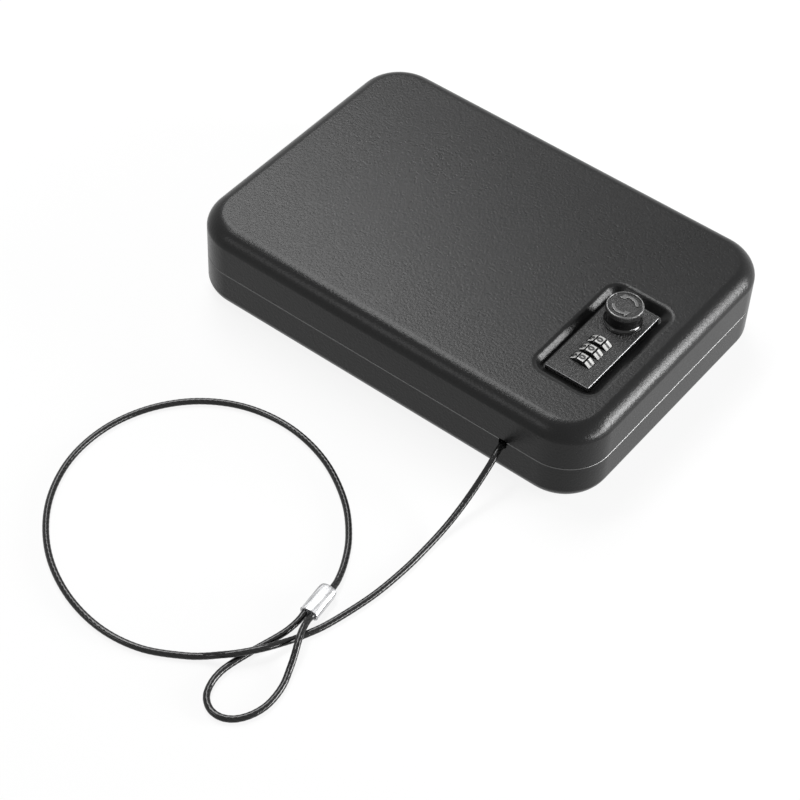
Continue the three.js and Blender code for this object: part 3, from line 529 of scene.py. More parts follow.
class Finish(Enum):
    """Every finish on the safe: its material's name, the record's slot, and how it is made."""

    SHELL = ("satin_powder_coat", "powder_coat", PowderCoat())
    INNER = ("inner_black_paint", "inner_paint", PowderCoat(base=0.01, roughness=0.5, grain=900.0))
    CRACKLE = ("black_crackle_paint", "crackle_paint", CracklePaint())
    KNOB = ("glossy_knob_black", "knob_black", GlossBlack())
    # The knurl finish is a lighter, glossier copy of the knob's black: its lighter colour is painted light on the
    # teeth and on the arrows' tops.
    KNURL = ("knurl_black_painted_lighter", "knob_black", GlossBlack(0.055, 0.2, 1.0))
    RUBBED = ("rubbed_rim_black", "powder_coat", GlossBlack(0.02, 0.3, 0.95))
    ZINC = ("black_zinc_plate", "zinc_plate", Metal((0.11, 0.112, 0.12, 1.0), (0.06, 0.061, 0.066, 1.0), 0.42))
    CAST = ("satin_cast_zinc", "cast_zinc", Metal((0.52, 0.53, 0.55, 1.0), (0.4, 0.41, 0.43, 1.0), 0.42, 900.0))
    SPRING = ("bright_spring_steel", "spring_steel", Metal(roughness=0.2, marks=900.0, stretch=(0.1, 1.0, 1.0)))
    BRASS = ("turned_brass", "brass", Metal((0.66, 0.48, 0.2, 1.0), (0.5, 0.34, 0.13, 1.0), 0.3, 700.0))
    FOAM = ("black_foam", "foam", Foam())
    CABLE = ("smoked_cable_jacket", "cable_jacket", CableJacket())
    # The sleeve's lengthwise streaks lie along its pressing marks and are painted reflections.
    SLEEVE = (
        "pressed_aluminium",
        "ferrule_metal",
        Metal((0.62, 0.62, 0.63, 1.0), (0.24, 0.243, 0.247, 1.0), 0.42, 800.0, (1.0, 0.07, 1.0), 0.0002, True),
    )
    DIAL = ("white_dial_enamel", "dial_white", DialEnamel())
    # The digits' black ink, also laid in the grooves between pads and on the wheels' sides as painted shade.
    INK = ("black_ink_and_painted_shade", "dial_white", GlossBlack(0.006, 0.4))
    BARE_EDGE = (
        "bare_plate_edge",
        "crackle_paint",
        Metal((0.155, 0.155, 0.158, 1.0), (0.11, 0.11, 0.112, 1.0), 0.26, 1200.0),
    )

    @property
    def slot(self) -> str:
        """The record's material slot."""
        return self.value[1]

    def material(self) -> bpy.types.Material:
        """The material, made on its first use."""
        name, _, maker = self.value
        return bpy.data.materials.get(name) or maker.material(name)


# Shape building


def placed(name: str, data: bpy.types.ID) -> bpy.types.Object:
    """Puts a new object in the scene.

    Args:
        name: Its name.
        data: Its mesh, text, lamp or camera.

    Returns:
        The object.
    """
    thing = bpy.data.objects.new(name, data)
    bpy.context.scene.collection.objects.link(thing)
    return thing


def evaluated(thing: bpy.types.Object) -> bpy.types.Mesh:
    """Makes a mesh of an object as it shows.

    Args:
        thing: An object with modifiers, or a text.

    Returns:
        The mesh.
    """
    graph = bpy.context.evaluated_depsgraph_get()
    graph.update()
    return bpy.data.meshes.new_from_object(thing.evaluated_get(graph))


class Shape:
    """A mesh under construction, in millimetres."""

    def __init__(self, name: str, points: Sequence[Point], faces: Sequence[Sequence[int]]) -> None:
        """Makes the object, with its faces turned outwards.

        Args:
            name: The object's name.
            points: Its corners.
            faces: The numbers of each face's corners.
        """
        mesh = bpy.data.meshes.new(name)
        mesh.from_pydata([tuple(point) for point in points], [], [tuple(face) for face in faces])
        self.piece = placed(name, mesh)
        self.edit(lambda shape: bmesh.ops.recalc_face_normals(shape, faces=shape.faces))

    @classmethod
    def lofted(cls, name: str, rings: Sequence[Sequence[Point]], closed: bool = False) -> "Shape":
        """A skin over rings of equally many points.

        Args:
            name: The object's name.
            rings: The loops in order.
            closed: Whether the last ring joins the first, instead of a cap on each.

        Returns:
            The shape.
        """
        count = len(rings[0])
        points = [point for ring in rings for point in ring]
        faces = []
        levels = len(rings) if closed else len(rings) - 1
        for level in range(levels):
            here, onward = level * count, (level + 1) % len(rings) * count
            for index in range(count):
                beside = (index + 1) % count
                faces.append((here + index, here + beside, onward + beside, onward + index))
        if not closed:
            faces.append(tuple(reversed(range(count))))
            faces.append(tuple(range(len(points) - count, len(points))))
        return cls(name, points, faces)

    @classmethod
    def turned(cls, name: str, profile: Sequence[Flat], segments: int = 64) -> "Shape":
        """A turned piece on the Z axis.

        Args:
            name: The object's name.
            profile: Pairs of radius and height. The first and last lie on the axis where the piece is solid.
            segments: How many sides it has.

        Returns:
            The shape.
        """
        solid = profile[0][0] == 0
        walls = profile[1:-1] if solid else profile
        rings = [polar_ring(lambda _, radius=radius: radius, height, segments) for radius, height in walls]
        return cls.lofted(name, rings, closed=not solid)

    @classmethod
    def rod(cls, name: str, radius: float, low: float, high: float, segments: int = 48) -> "Shape":
        """A cylinder on the Z axis, as a tool or a start."""
        return cls.turned(name, [(0, low), (radius, low), (radius, high), (0, high)], segments)

    @classmethod
    def extruded(cls, name: str, outline: Sequence[Flat], low: float, high: float) -> "Shape":
        """A flat outline raised from low to high."""
        return cls.lofted(name, [[(x, y, height) for x, y in outline] for height in (low, high)])

    @classmethod
    def block(cls, name: str, low: Point, high: Point) -> "Shape":
        """A block between two corners, as a start for cutting and bevelling."""
        outline = [(low[0], low[1]), (high[0], low[1]), (high[0], high[1]), (low[0], high[1])]
        return cls.extruded(name, outline, low[2], high[2])

    def edit(self, change: Callable[[bmesh.types.BMesh], object]) -> "Shape":
        """Changes the mesh.

        Args:
            change: What is done to the open mesh.

        Returns:
            The shape.
        """
        work = bmesh.new()
        work.from_mesh(self.piece.data)
        change(work)
        work.to_mesh(self.piece.data)
        work.free()
        return self

    def moved(self, x: float = 0.0, y: float = 0.0, z: float = 0.0) -> "Shape":
        """Moves the mesh."""
        self.piece.data.transform(Matrix.Translation((x, y, z)))
        return self

    def rotated(self, axis: str, angle: float) -> "Shape":
        """Turns the mesh about an axis through the origin."""
        self.piece.data.transform(Matrix.Rotation(angle, 4, axis))
        return self

    def baked(self) -> "Shape":
        """Puts the modifiers' result in the mesh.

        Returns:
            The shape.
        """
        mesh = evaluated(self.piece)
        self.piece.modifiers.clear()
        self.piece.data = mesh
        return self

    def _combined(self, operation: str, others: Iterable["Shape"]) -> "Shape":
        """Joins or cuts with other shapes, which are used up.

        Args:
            operation: The Boolean modifier's operation.
            others: The other shapes.

        Returns:
            The shape.
        """
        others = list(others)
        for other in others:
            modifier = self.piece.modifiers.new(operation, "BOOLEAN")
            modifier.operation = operation
            modifier.solver = "EXACT"
            modifier.object = other.piece
        self.baked()
        for other in others:
            bpy.data.objects.remove(other.piece)
        return self

    def cut(self, *tools: "Shape") -> "Shape":
        """Cuts shapes out."""
        return self._combined("DIFFERENCE", tools)

    def joined(self, *others: "Shape") -> "Shape":
        """Joins shapes on."""
        return self._combined("UNION", others)

    def kept_inside(self, other: "Shape") -> "Shape":
        """Keeps what lies inside another shape."""
        return self._combined("INTERSECT", [other])

    def bevelled(self, width: float, segments: int = 2, angle: float = 40.0) -> "Shape":
        """Rounds sharp edges.

        Args:
            width: How wide the rounding is.
            segments: How many facets it has.
            angle: The angle in degrees above which an edge is rounded.

        Returns:
            The shape.
        """
        modifier = self.piece.modifiers.new("rounding", "BEVEL")
        modifier.width = width
        modifier.segments = segments
        modifier.limit_method = "ANGLE"
        modifier.angle_limit = math.radians(angle)
        modifier.use_clamp_overlap = True
        return self.baked()

    def painted(self, main: Finish, other: Finish, chosen: Callable[[bpy.types.MeshPolygon], bool]) -> "Shape":
        """Gives some faces a second finish.

        Args:
            main: The finish of the other faces.
            other: The second finish.
            chosen: Whether a face has the second finish.

        Returns:
            The shape.
        """
        mesh = self.piece.data
        mesh.materials.clear()
        for finish in (main, other):
            mesh.materials.append(finish.material())
        for face in mesh.polygons:
            face.material_index = int(chosen(face))
        return self

    def finished(
        self,
        finish: Finish,
        body: Union[Body, str],
        replaces: Sequence[str] = (),
        sharp: float = 38.0,
        weighted: bool = True,
    ) -> bpy.types.Object:
        """Turns the shape into a piece of the safe.

        Args:
            finish: Its finish, put in its first material slot.
            body: The body that it rides on.
            replaces: The CAD nodes that it stands for.
            sharp: The angle in degrees above which an edge stays sharp.
            weighted: Whether large flat faces rule the shading of their borders.

        Returns:
            The finished object, in metres.
        """
        mesh = self.piece.data
        mesh.transform(Matrix.Scale(MILLIMETRE, 4))
        mesh.shade_smooth()
        mesh.set_sharp_from_angle(angle=math.radians(sharp))
        if weighted:
            modifier = self.piece.modifiers.new("shading", "WEIGHTED_NORMAL")
            modifier.keep_sharp = True
            self.baked()
        if not self.piece.data.materials:
            self.piece.data.materials.append(None)
        self.piece.data.materials[0] = finish.material()
        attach(self.piece, body.value if isinstance(body, Body) else body)
        if replaces:
            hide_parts(*replaces)
        log.info("%s: %d faces", self.piece.name, len(self.piece.data.polygons))
        return self.piece


def polar_ring(radius: Callable[[float], float], height: float, count: int) -> list[Point]:
    """A level loop round the Z axis whose radius may change with the angle."""
    angles = [index * 2 * math.pi / count for index in range(count)]
    return [(radius(angle) * math.cos(angle), radius(angle) * math.sin(angle), height) for angle in angles]


def polar(radius: float, angle: float, centre: Flat = (0.0, 0.0)) -> Flat:
    """The point at a distance and an angle in degrees from a centre."""
    turn = math.radians(angle)
    return centre[0] + radius * math.cos(turn), centre[1] + radius * math.sin(turn)


def arc(radius: float, start: float, end: float, steps: int, centre: Flat = (0.0, 0.0)) -> list[Flat]:
    """Points along an arc, both ends included, with angles in degrees."""
    return [polar(radius, start + (end - start) * step / steps, centre) for step in range(steps + 1)]


@dataclass(frozen=True)
class RoundedPlan:
    """A rounded rectangle seen from above."""

    length: float
    width: float
    radius: float
    centre: Flat = (0.0, 0.0)
    steps: int = 14
    least_radius: float = 0.05

    def ring(self, inset: float, height: float) -> list[Point]:
        """The loop at a distance inside the outline.

        Args:
            inset: The distance.
            height: The loop's height.

        Returns:
            Its points, anticlockwise from above.
        """
        radius = max(self.radius - inset, self.least_radius)
        half_x, half_y = (size / 2 - inset - radius for size in (self.length, self.width))
        loop = []
        for quarter, (side_x, side_y) in enumerate(((1, 1), (-1, 1), (-1, -1), (1, -1))):
            corner = (self.centre[0] + side_x * half_x, self.centre[1] + side_y * half_y)
            start = quarter * 90
            loop += [(x, y, height) for x, y in arc(radius, start, start + 90, self.steps, corner)]
        return loop

    def loft(self, name: str, profile: Sequence[Flat], closed: bool = False) -> Shape:
        """A skin over loops given as pairs of inset and height."""
        return Shape.lofted(name, [self.ring(inset, height) for inset, height in profile], closed)


def round_edge(radius: float, depth: float, face: float, side: int, steps: int = 14) -> list[Flat]:
    """The profile of a drawn edge between a flat face and an upright wall.

    Args:
        radius: The outside radius of the edge.
        depth: How far the skin lies inside the outside one.
        face: The height of the outside flat face.
        side: 1 where the wall rises from the face, -1 where it hangs from it.
        steps: How many facets the edge has.

    Returns:
        Pairs of inset and height from the flat face to the wall.
    """
    flat_start = 1.5
    profile = [(radius + flat_start, face + side * depth)]
    reach = radius - depth
    for step in range(steps + 1):
        angle = RIGHT_ANGLE * step / steps
        inward = reach * math.sin(angle) ** EDGE_FLATNESS
        upward = reach * max(math.cos(angle), 0.0) ** EDGE_FLATNESS
        profile.append((radius - inward, face + side * (radius - upward)))
    return profile


def sheet_rim(outer: float, inner: float, height: float, side: int, soft: float = 0.32) -> list[Flat]:
    """The rounded edge of a sheet that ends at a height.

    Args:
        outer: The inset of its outer face.
        inner: The inset of its inner face.
        height: The height where it ends.
        side: 1 where it ends at its top, -1 where it ends at its foot.
        soft: The radius of the rounding.

    Returns:
        Pairs of inset and height from the outer face to the inner one.
    """
    steps, straight = 4, 0.8
    start = height - side * (soft + straight)
    quarter = []
    for step in range(steps + 1):
        angle = RIGHT_ANGLE * step / steps
        quarter.append((soft * (1 - math.cos(angle)), height - side * soft * (1 - math.sin(angle))))
    up = [(outer + inset, level) for inset, level in quarter]
    down = [(inner - inset, level) for inset, level in reversed(quarter)]
    return [(outer, start), *up, *down, (inner, start)]


def plain(name: str, finish: Finish) -> bpy.types.Object:
    """Gives a CAD piece whose shape is right its finish.

    Args:
        name: The CAD node.
        finish: The finish.

    Returns:
        The piece.
    """
    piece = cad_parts[name]
    piece.data.materials.clear()
    piece.data.materials.append(finish.material())
    log.info("%s keeps its CAD shape", name)
    return piece


# The box


@dataclass(frozen=True)
class BoxSizes:
    """The sizes of the two shells, as in the CAD model."""

    length: float = 240.0
    width: float = 166.0
    height: float = 49.0
    corner: float = 24.5
    lid_edge: float = 8.6
    tray_edge: float = 8.2
    sheet: float = 1.2
    parting: float = 23.9
    seam: float = 0.4
    lip_inset: float = 1.6
    lip_sheet: float = 1.0
    lip_low: float = 15.8
    lip_high: float = 28.9
    hinge_half: float = 46.4
    hinge_clear: float = 2.5
    knuckle: float = 2.2
    pin: float = 1.0
    notch_x: float = 76.5
    notch_z: float = 20.9
    notch_half: float = 2.3
    rivet_places: tuple[float, ...] = (-32.0, 0.0, 32.0)
    rivet_from_parting: float = 7.4
    rivet_bore: float = 1.6
    bore_reach: Flat = (-3.0, 5.0)

    @property
    def plan(self) -> RoundedPlan:
        """The outline from above."""
        return RoundedPlan(self.length, self.width, self.corner)

    @property
    def left(self) -> float:
        """Where the outer face of the hinge's wall is."""
        return -self.length / 2

    def rivet_height(self, side: int) -> float:
        """The height of the rivets of the tray (-1) or the lid (1)."""
        return self.parting + side * self.rivet_from_parting

    def rivet_bores(self, side: int) -> list[Shape]:
        """What the rivets of one side take out of the hinge's wall and leaf.

        Args:
            side: -1 for the tray's rivets and 1 for the lid's.

        Returns:
            The cutting shapes.
        """
        bores = [Shape.rod("hole", self.rivet_bore, *self.bore_reach, 24) for _ in self.rivet_places]
        height = self.rivet_height(side)
        return [
            bore.rotated("Y", RIGHT_ANGLE).moved(self.left, y, height) for bore, y in zip(bores, self.rivet_places)
        ]


@dataclass(frozen=True)
class LockPlaces:
    """Where the lock's pieces stand in the lid, as in the CAD model."""

    x: float = 86.5
    y: float = -19.2
    knob_y: float = -2.0
    dials_y: tuple[float, ...] = (-21.4, -28.7, -36.0)
    dial_height: float = 42.3
    boss_reach: float = 25.3
    spindle_bore: float = 3.3

    @property
    def knob(self) -> Flat:
        """The knob's axis."""
        return self.x, self.knob_y

    def bosses(self, radius: float, low: float, high: float, segments: int) -> list[Shape]:
        """Cylinders on the axes of the two screws that hold plate and case together.

        Args:
            radius: Their radius.
            low: Their foot.
            high: Their top.
            segments: How many sides they have.

        Returns:
            The two shapes.
        """
        places = [self.y + side * self.boss_reach for side in (-1, 1)]
        return [Shape.rod("boss", radius, low, high, segments).moved(self.x, y) for y in places]

    def spindle(self, radius: float, low: float, high: float) -> Shape:
        """A cylinder on the knob's axis."""
        return Shape.rod("spindle", radius, low, high).moved(*self.knob)


@dataclass
class Shells:
    """The tray, its lip and the lid with the pressed pocket."""

    sizes: BoxSizes = BoxSizes()
    lock: LockPlaces = LockPlaces()
    pocket: RoundedPlan = RoundedPlan(40.0, 75.9, 9.6, (87.3, -19.3), 12)
    pocket_lean: float = 1.36
    pocket_floor: float = 44.6
    pocket_rim: float = 3.1
    pocket_slope: float = 49.0
    pocket_foot: float = 0.8
    bend_steps: int = 10
    floor_cut: Flat = (38.0, 47.0)
    window_half: float = 7.8
    window_reach: Flat = (-22.4, 3.1)
    spindle_hole: float = 3.6
    boss_hole: float = 3.1
    slot_top: float = 14.0
    slot_reach: Flat = (-3.0, 6.0)
    tray_rim_softness: float = 0.5
    lip_softness: float = 0.4

    def build(self) -> None:
        """Builds the three shells."""
        self.tray()
        self.lip()
        self.lid()

    def hinge_openings(self, side: int) -> list[Shape]:
        """What the hinge and its rivets take out of a shell's left wall.

        Args:
            side: -1 for the tray and 1 for the lid.

        Returns:
            The cutting shapes.
        """
        sizes = self.sizes
        slot = Shape.block(
            "slot",
            (sizes.left - PAST, -sizes.hinge_half, sizes.parting - sizes.hinge_clear),
            (sizes.left + sizes.sheet + PAST, sizes.hinge_half, sizes.parting + sizes.hinge_clear),
        )
        return [slot, *sizes.rivet_bores(side)]

    def cable_slot(self) -> Shape:
        """The slot with a round foot that the cable lies in.

        Returns:
            The cutting shape, through the front wall and the lip.
        """
        sizes = self.sizes
        foot = arc(sizes.notch_half, 180, 360, 16)
        outline = [*foot, (sizes.notch_half, self.slot_top), (-sizes.notch_half, self.slot_top)]
        before, behind = self.slot_reach
        slot = Shape.extruded("slot", outline, before, behind).rotated("X", RIGHT_ANGLE)
        return slot.moved(sizes.notch_x, -sizes.width / 2 - before, sizes.notch_z)

    def tray(self) -> None:
        """The tray's drawn shell."""
        sizes = self.sizes
        rim = sizes.parting - sizes.seam / 2
        outer = round_edge(sizes.tray_edge, 0.0, 0.0, 1)
        inner = round_edge(sizes.tray_edge, sizes.sheet, 0.0, 1)
        top = sheet_rim(0.0, sizes.sheet, rim, 1, self.tray_rim_softness)
        shell = sizes.plan.loft("tray_shell", [*outer, *top, *reversed(inner)])
        shell.cut(*self.hinge_openings(-1), self.cable_slot())
        rubbed = rim - self.tray_rim_softness
        shell.painted(Finish.SHELL, Finish.RUBBED, lambda face: face.center.z > rubbed)
        shell.finished(Finish.SHELL, Body.TRAY, ["base_shell"])

    def lip(self) -> None:
        """The band welded in the tray that the lid closes over, with a rounded top edge."""
        sizes = self.sizes
        outer = sizes.lip_inset
        inner = outer + sizes.lip_sheet
        middle = (sizes.lip_low + sizes.lip_high) / 2
        upper = [(outer, middle), *sheet_rim(outer, inner, sizes.lip_high, 1, self.lip_softness), (inner, middle)]
        lower = [(inner, sizes.lip_low), (outer, sizes.lip_low)]
        band = sizes.plan.loft("tray_lip", [*upper, *lower], closed=True)
        gap = Shape.block(
            "gap",
            (sizes.left, -sizes.hinge_half, sizes.lip_low - PAST),
            (sizes.left + inner + PAST, sizes.hinge_half, sizes.lip_high + PAST),
        )
        band.cut(gap, self.cable_slot())
        band.finished(Finish.INNER, Body.TRAY, ["base_lip"])

    def pocket_profile(self, skin: float) -> list[Flat]:
        """The pocket's section from its floor to its mouth.

        Args:
            skin: 0 for its upper face, or how far below that the face lies.

        Returns:
            Pairs of inset and height.
        """
        slope = math.radians(self.pocket_slope)
        top, floor, rim, foot = self.sizes.height, self.pocket_floor, self.pocket_rim, self.pocket_foot
        drop = top - floor - rim * (1 - math.cos(slope))
        inset = rim * math.sin(slope) + drop / math.tan(slope)
        bends = [slope * (1 - step / self.bend_steps) for step in range(self.bend_steps + 1)]
        roll = [((rim - skin) * math.sin(bend), top - rim + (rim - skin) * math.cos(bend)) for bend in bends]
        if skin:
            return [(inset - skin * math.tan(slope / 2), floor - skin), *roll, (-skin, top - skin / 2)]
        reach = inset + foot * math.tan(slope / 2)
        hollow = [(reach - foot * math.sin(bend), floor + foot * (1 - math.cos(bend))) for bend in reversed(bends)]
        return [*hollow, *roll, (0.0, top + PAST)]

    def pocket_skin(self, name: str, skin: float) -> Shape:
        """One face of the pocket, whose right and near walls lean more than the other two.

        Args:
            name: The shape's name.
            skin: As for the profile.

        Returns:
            The shape.
        """
        plan = self.pocket
        rings = []
        for inset, height in self.pocket_profile(skin):
            more = (self.pocket_lean - 1) * max(inset, 0.0)
            centre = (plan.centre[0] - more / 2, plan.centre[1] + more / 2)
            level = RoundedPlan(plan.length - more, plan.width - more, plan.radius - more / 2, centre, plan.steps)
            rings.append(level.ring(inset, height))
        return Shape.lofted(name, rings)

    def lid(self) -> None:
        """The lid's drawn shell with the pocket for the lock."""
        sizes = self.sizes
        rim = sizes.parting + sizes.seam / 2
        outer = round_edge(sizes.lid_edge, 0.0, sizes.height, -1)
        inner = round_edge(sizes.lid_edge, sizes.sheet, sizes.height, -1)
        profile = [*outer, *sheet_rim(0.0, sizes.sheet, rim, -1), *reversed(inner)]
        shell = sizes.plan.loft("lid_shell_skin", profile)
        shell.joined(self.pocket_skin("cup", sizes.sheet))
        lock, (low, high), (near, far) = self.lock, self.floor_cut, self.window_reach
        window = Shape.block(
            "window",
            (lock.x - self.window_half, lock.y + near, low),
            (lock.x + self.window_half, lock.y + far, high),
        )
        bosses = lock.bosses(self.boss_hole, low, high, 32)
        shell.cut(self.pocket_skin("space", 0.0))
        shell.cut(window, lock.spindle(self.spindle_hole, low, high), *bosses, *self.hinge_openings(1))
        shell.finished(Finish.SHELL, Body.LID, ["lid_shell"])


@dataclass
class Hinge:
    """The barrel hinge: two leaves with rolled knuckles, the pin and the rivets."""

    sizes: BoxSizes = BoxSizes()
    length: float = 90.0
    knuckles: int = 5
    leaf: float = 1.0
    reach: float = 11.5
    gap: float = 0.3
    barrel_softness: float = 0.2
    rivet_head: Flat = (2.6, 0.8)
    rivet_shank: float = 1.3
    pin_head: Flat = (0.7, 0.8)

    def build(self) -> None:
        """Builds the hinge."""
        self.leaf_piece(-1, 0, Body.TRAY, "tray_hinge_leaf", "base_hinge_leaf")
        self.leaf_piece(1, 1, Body.LID, "lid_hinge_plate", "lid_hinge_leaf")
        self.pin()
        for side, body in ((-1, Body.TRAY), (1, Body.LID)):
            for number, y in enumerate(self.sizes.rivet_places, 1):
                self.rivet(side, y, body, f"{body.value}_rivet_{number}")

    def spans(self, first: int) -> list[Flat]:
        """Where the knuckles of one leaf lie.

        Args:
            first: The number of its first knuckle.

        Returns:
            The two ends of each along Y.
        """
        pitch = self.length / self.knuckles
        starts = [-self.length / 2 + index * pitch for index in range(first, self.knuckles, 2)]
        return [(start + self.gap / 2, start + pitch - self.gap / 2) for start in starts]

    def barrel(self, radius: float, start: float, end: float) -> Shape:
        """A cylinder on the hinge's axis.

        Args:
            radius: Its radius.
            start: Its end towards the front.
            end: Its other end.

        Returns:
            The shape.
        """
        soft = self.barrel_softness
        profile = [(0, start), (radius - soft, start), (radius, start + soft)]
        profile += [(radius, end - soft), (radius - soft, end), (0, end)]
        turned = Shape.turned("barrel", profile, 40).rotated("X", -RIGHT_ANGLE)
        return turned.moved(self.sizes.left, 0.0, self.sizes.parting)

    def leaf_piece(self, side: int, first: int, body: Body, name: str, node: str) -> None:
        """One leaf with its knuckles.

        Args:
            side: -1 for the tray's leaf, which hangs down, and 1 for the lid's.
            first: The number of its first knuckle.
            body: The body that it rides on.
            name: The piece's name.
            node: The CAD node that it replaces.
        """
        sizes = self.sizes
        own = self.spans(first)
        back = sizes.left + sizes.sheet + self.gap
        low, high = sorted((sizes.parting, sizes.parting + side * self.reach))
        plate = Shape.block(name, (back, own[0][0], low), (back + self.leaf, own[-1][1], high)).bevelled(0.3)
        clear = sizes.knuckle + self.gap
        gaps = [
            Shape.block(
                "gap",
                (sizes.left - clear, start - self.gap, sizes.parting - clear),
                (back + self.leaf + PAST, end + self.gap, sizes.parting + clear),
            )
            for start, end in self.spans(1 - first)
        ]
        plate.cut(*gaps)
        plate.joined(*[self.barrel(sizes.knuckle, start, end) for start, end in own])
        plate.cut(self.barrel(sizes.pin + self.gap, -self.length, self.length), *sizes.rivet_bores(side))
        plate.finished(Finish.INNER, body, [node])

    def pin(self) -> None:
        """The pin with a peened head at each end."""
        half = self.length / 2 + self.gap
        wider, tall = self.pin_head
        head = self.sizes.pin + wider
        dome = [(head, half + tall * 0.5), (head * 0.8, half + tall * 0.9), (0, half + tall)]
        side = [(self.sizes.pin, half), (head, half), *dome]
        profile = [(radius, -height) for radius, height in reversed(side)] + side
        pin = Shape.turned("hinge_rod", profile, 40).rotated("X", -RIGHT_ANGLE)
        pin.moved(self.sizes.left, 0.0, self.sizes.parting).finished(Finish.ZINC, Body.TRAY, ["hinge_pin"])

    def rivet(self, side: int, y: float, body: Body, node: str) -> None:
        """A rivet with a domed head on both faces.

        Args:
            side: -1 for the tray's rivets and 1 for the lid's.
            y: Its place along the hinge.
            body: The body that it rides on.
            node: The CAD node that it replaces.
        """
        inside = self.sizes.sheet + self.gap + self.leaf + self.gap
        (radius, height), shank = self.rivet_head, self.rivet_shank
        angles = [math.radians(angle) for angle in range(0, 90, 15)]
        dome = [(radius * math.cos(angle), height * math.sin(angle)) for angle in angles]
        upper = [(width, inside + rise) for width, rise in dome]
        lower = [(width, -self.gap - rise) for width, rise in reversed(dome)]
        shaft = [(shank, -self.gap), (shank, inside)]
        profile = [(0, lower[0][1] - 0.02), *lower, *shaft, *upper, (0, upper[-1][1] + 0.02)]
        rivet = Shape.turned(f"{node}_domed", profile, 32).rotated("Y", RIGHT_ANGLE)
        rivet.moved(self.sizes.left, y, self.sizes.rivet_height(side)).finished(Finish.INNER, body, [node])


# The foam liners


@dataclass(frozen=True)
class Pad:
    """A foam pad whose upper face is waved, like an egg crate where the relief is deep."""

    length: float
    width: float
    thickness: float
    relief: float
    pitch: float
    corner: float = 20.6
    step: float = 2.2
    tuck: float = 4.0
    tucked_edge: float = 1.0
    crown_width: float = 3.0
    crown_share: float = 0.38

    def shape(self, name: str) -> Shape:
        """Builds the pad.

        Args:
            name: The piece's name.

        Returns:
            The pad, standing on z = 0.
        """
        columns, rows = round(self.length / self.step), round(self.width / self.step)
        along = [self.length * (column / columns - 0.5) for column in range(columns + 1)]
        spots = [self.on_plan(x, self.width * (row / rows - 0.5)) for row in range(rows + 1) for x in along]
        tucked = 1 - 2 * self.tuck / max(self.length, self.width)
        shares = [tucked if edge < self.tucked_edge else 1.0 for _, _, edge in spots]
        lower = [(x * share, y * share, 0.0) for (x, y, _), share in zip(spots, shares)]
        upper = [(x, y, self.height(x, y, edge)) for x, y, edge in spots]
        layer, across = len(spots), columns + 1
        faces = []
        for row in range(rows):
            for here in range(row * across, row * across + columns):
                quad = (here, here + 1, here + across + 1, here + across)
                faces += [tuple(reversed(quad)), tuple(layer + index for index in quad)]
        front, right = list(range(columns)), [columns + row * across for row in range(rows)]
        border = [*front, *right, *(layer - 1 - index for index in front), *(layer - 1 - index for index in right)]
        for here, beside in zip(border, border[1:] + border[:1]):
            faces.append((here, beside, layer + beside, layer + here))
        return Shape(name, [*lower, *upper], faces)

    def on_plan(self, x: float, y: float) -> Point:
        """Puts a point of a rectangle on the rounded plan.

        Args:
            x: Its place along X.
            y: Its place along Y.

        Returns:
            The new x and y, and the distance to the edge.
        """
        straight_x, straight_y = self.length / 2 - self.corner, self.width / 2 - self.corner
        u, v = (abs(x) - straight_x) / self.corner, (abs(y) - straight_y) / self.corner
        if u <= 0 or v <= 0:
            return x, y, min(self.length / 2 - abs(x), self.width / 2 - abs(y))
        round_u, round_v = u * math.sqrt(1 - v * v / 2), v * math.sqrt(1 - u * u / 2)
        new_x, new_y = straight_x + self.corner * round_u, straight_y + self.corner * round_v
        return math.copysign(new_x, x), math.copysign(new_y, y), self.corner * (1 - math.hypot(round_u, round_v))

    def height(self, x: float, y: float, edge: float) -> float:
        """The height of the upper face.

        Args:
            x: The point's place along X.
            y: Its place along Y.
            edge: Its distance to the pad's edge.

        Returns:
            The height.
        """
        wave = math.cos(2 * math.pi * x / self.pitch) * math.cos(2 * math.pi * y / self.pitch)
        crown = min(edge / self.crown_width, 1.0)
        soft = math.sqrt(max(0.0, 1 - (1 - crown) ** 2))
        rise = 1 - self.crown_share + self.crown_share * soft
        return self.thickness * rise - self.relief * (0.5 - 0.5 * wave) * soft


@dataclass
class Liners:
    """Foam pads glued in the tray and the lid, given by thickness, relief and pitch."""

    sizes: BoxSizes = BoxSizes()
    margin: float = 3.9
    tray_pad: Point = (5.0, 0.35, 9.0)
    lid_pad: Point = (11.5, 5.6, 26.0)
    tray_floor: float = 1.5
    lid_ceiling: float = 47.5

    def build(self) -> None:
        """Builds both pads."""
        width = self.sizes.width - 2 * self.margin
        tray = Pad(self.sizes.length - 2 * self.margin, width, *self.tray_pad).shape("tray_liner")
        tray.moved(0.0, 0.0, self.tray_floor)
        tray.finished(Finish.FOAM, Body.TRAY, ["base_foam"], 80, False)
        low, high = (corner[0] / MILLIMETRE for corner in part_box("lid_foam"))
        lid = Pad(high - low, width, *self.lid_pad).shape("lid_liner").rotated("X", math.pi)
        lid.moved((low + high) / 2, 0.0, self.lid_ceiling)
        lid.finished(Finish.FOAM, Body.LID, ["lid_foam"], 80, False)


# The lock


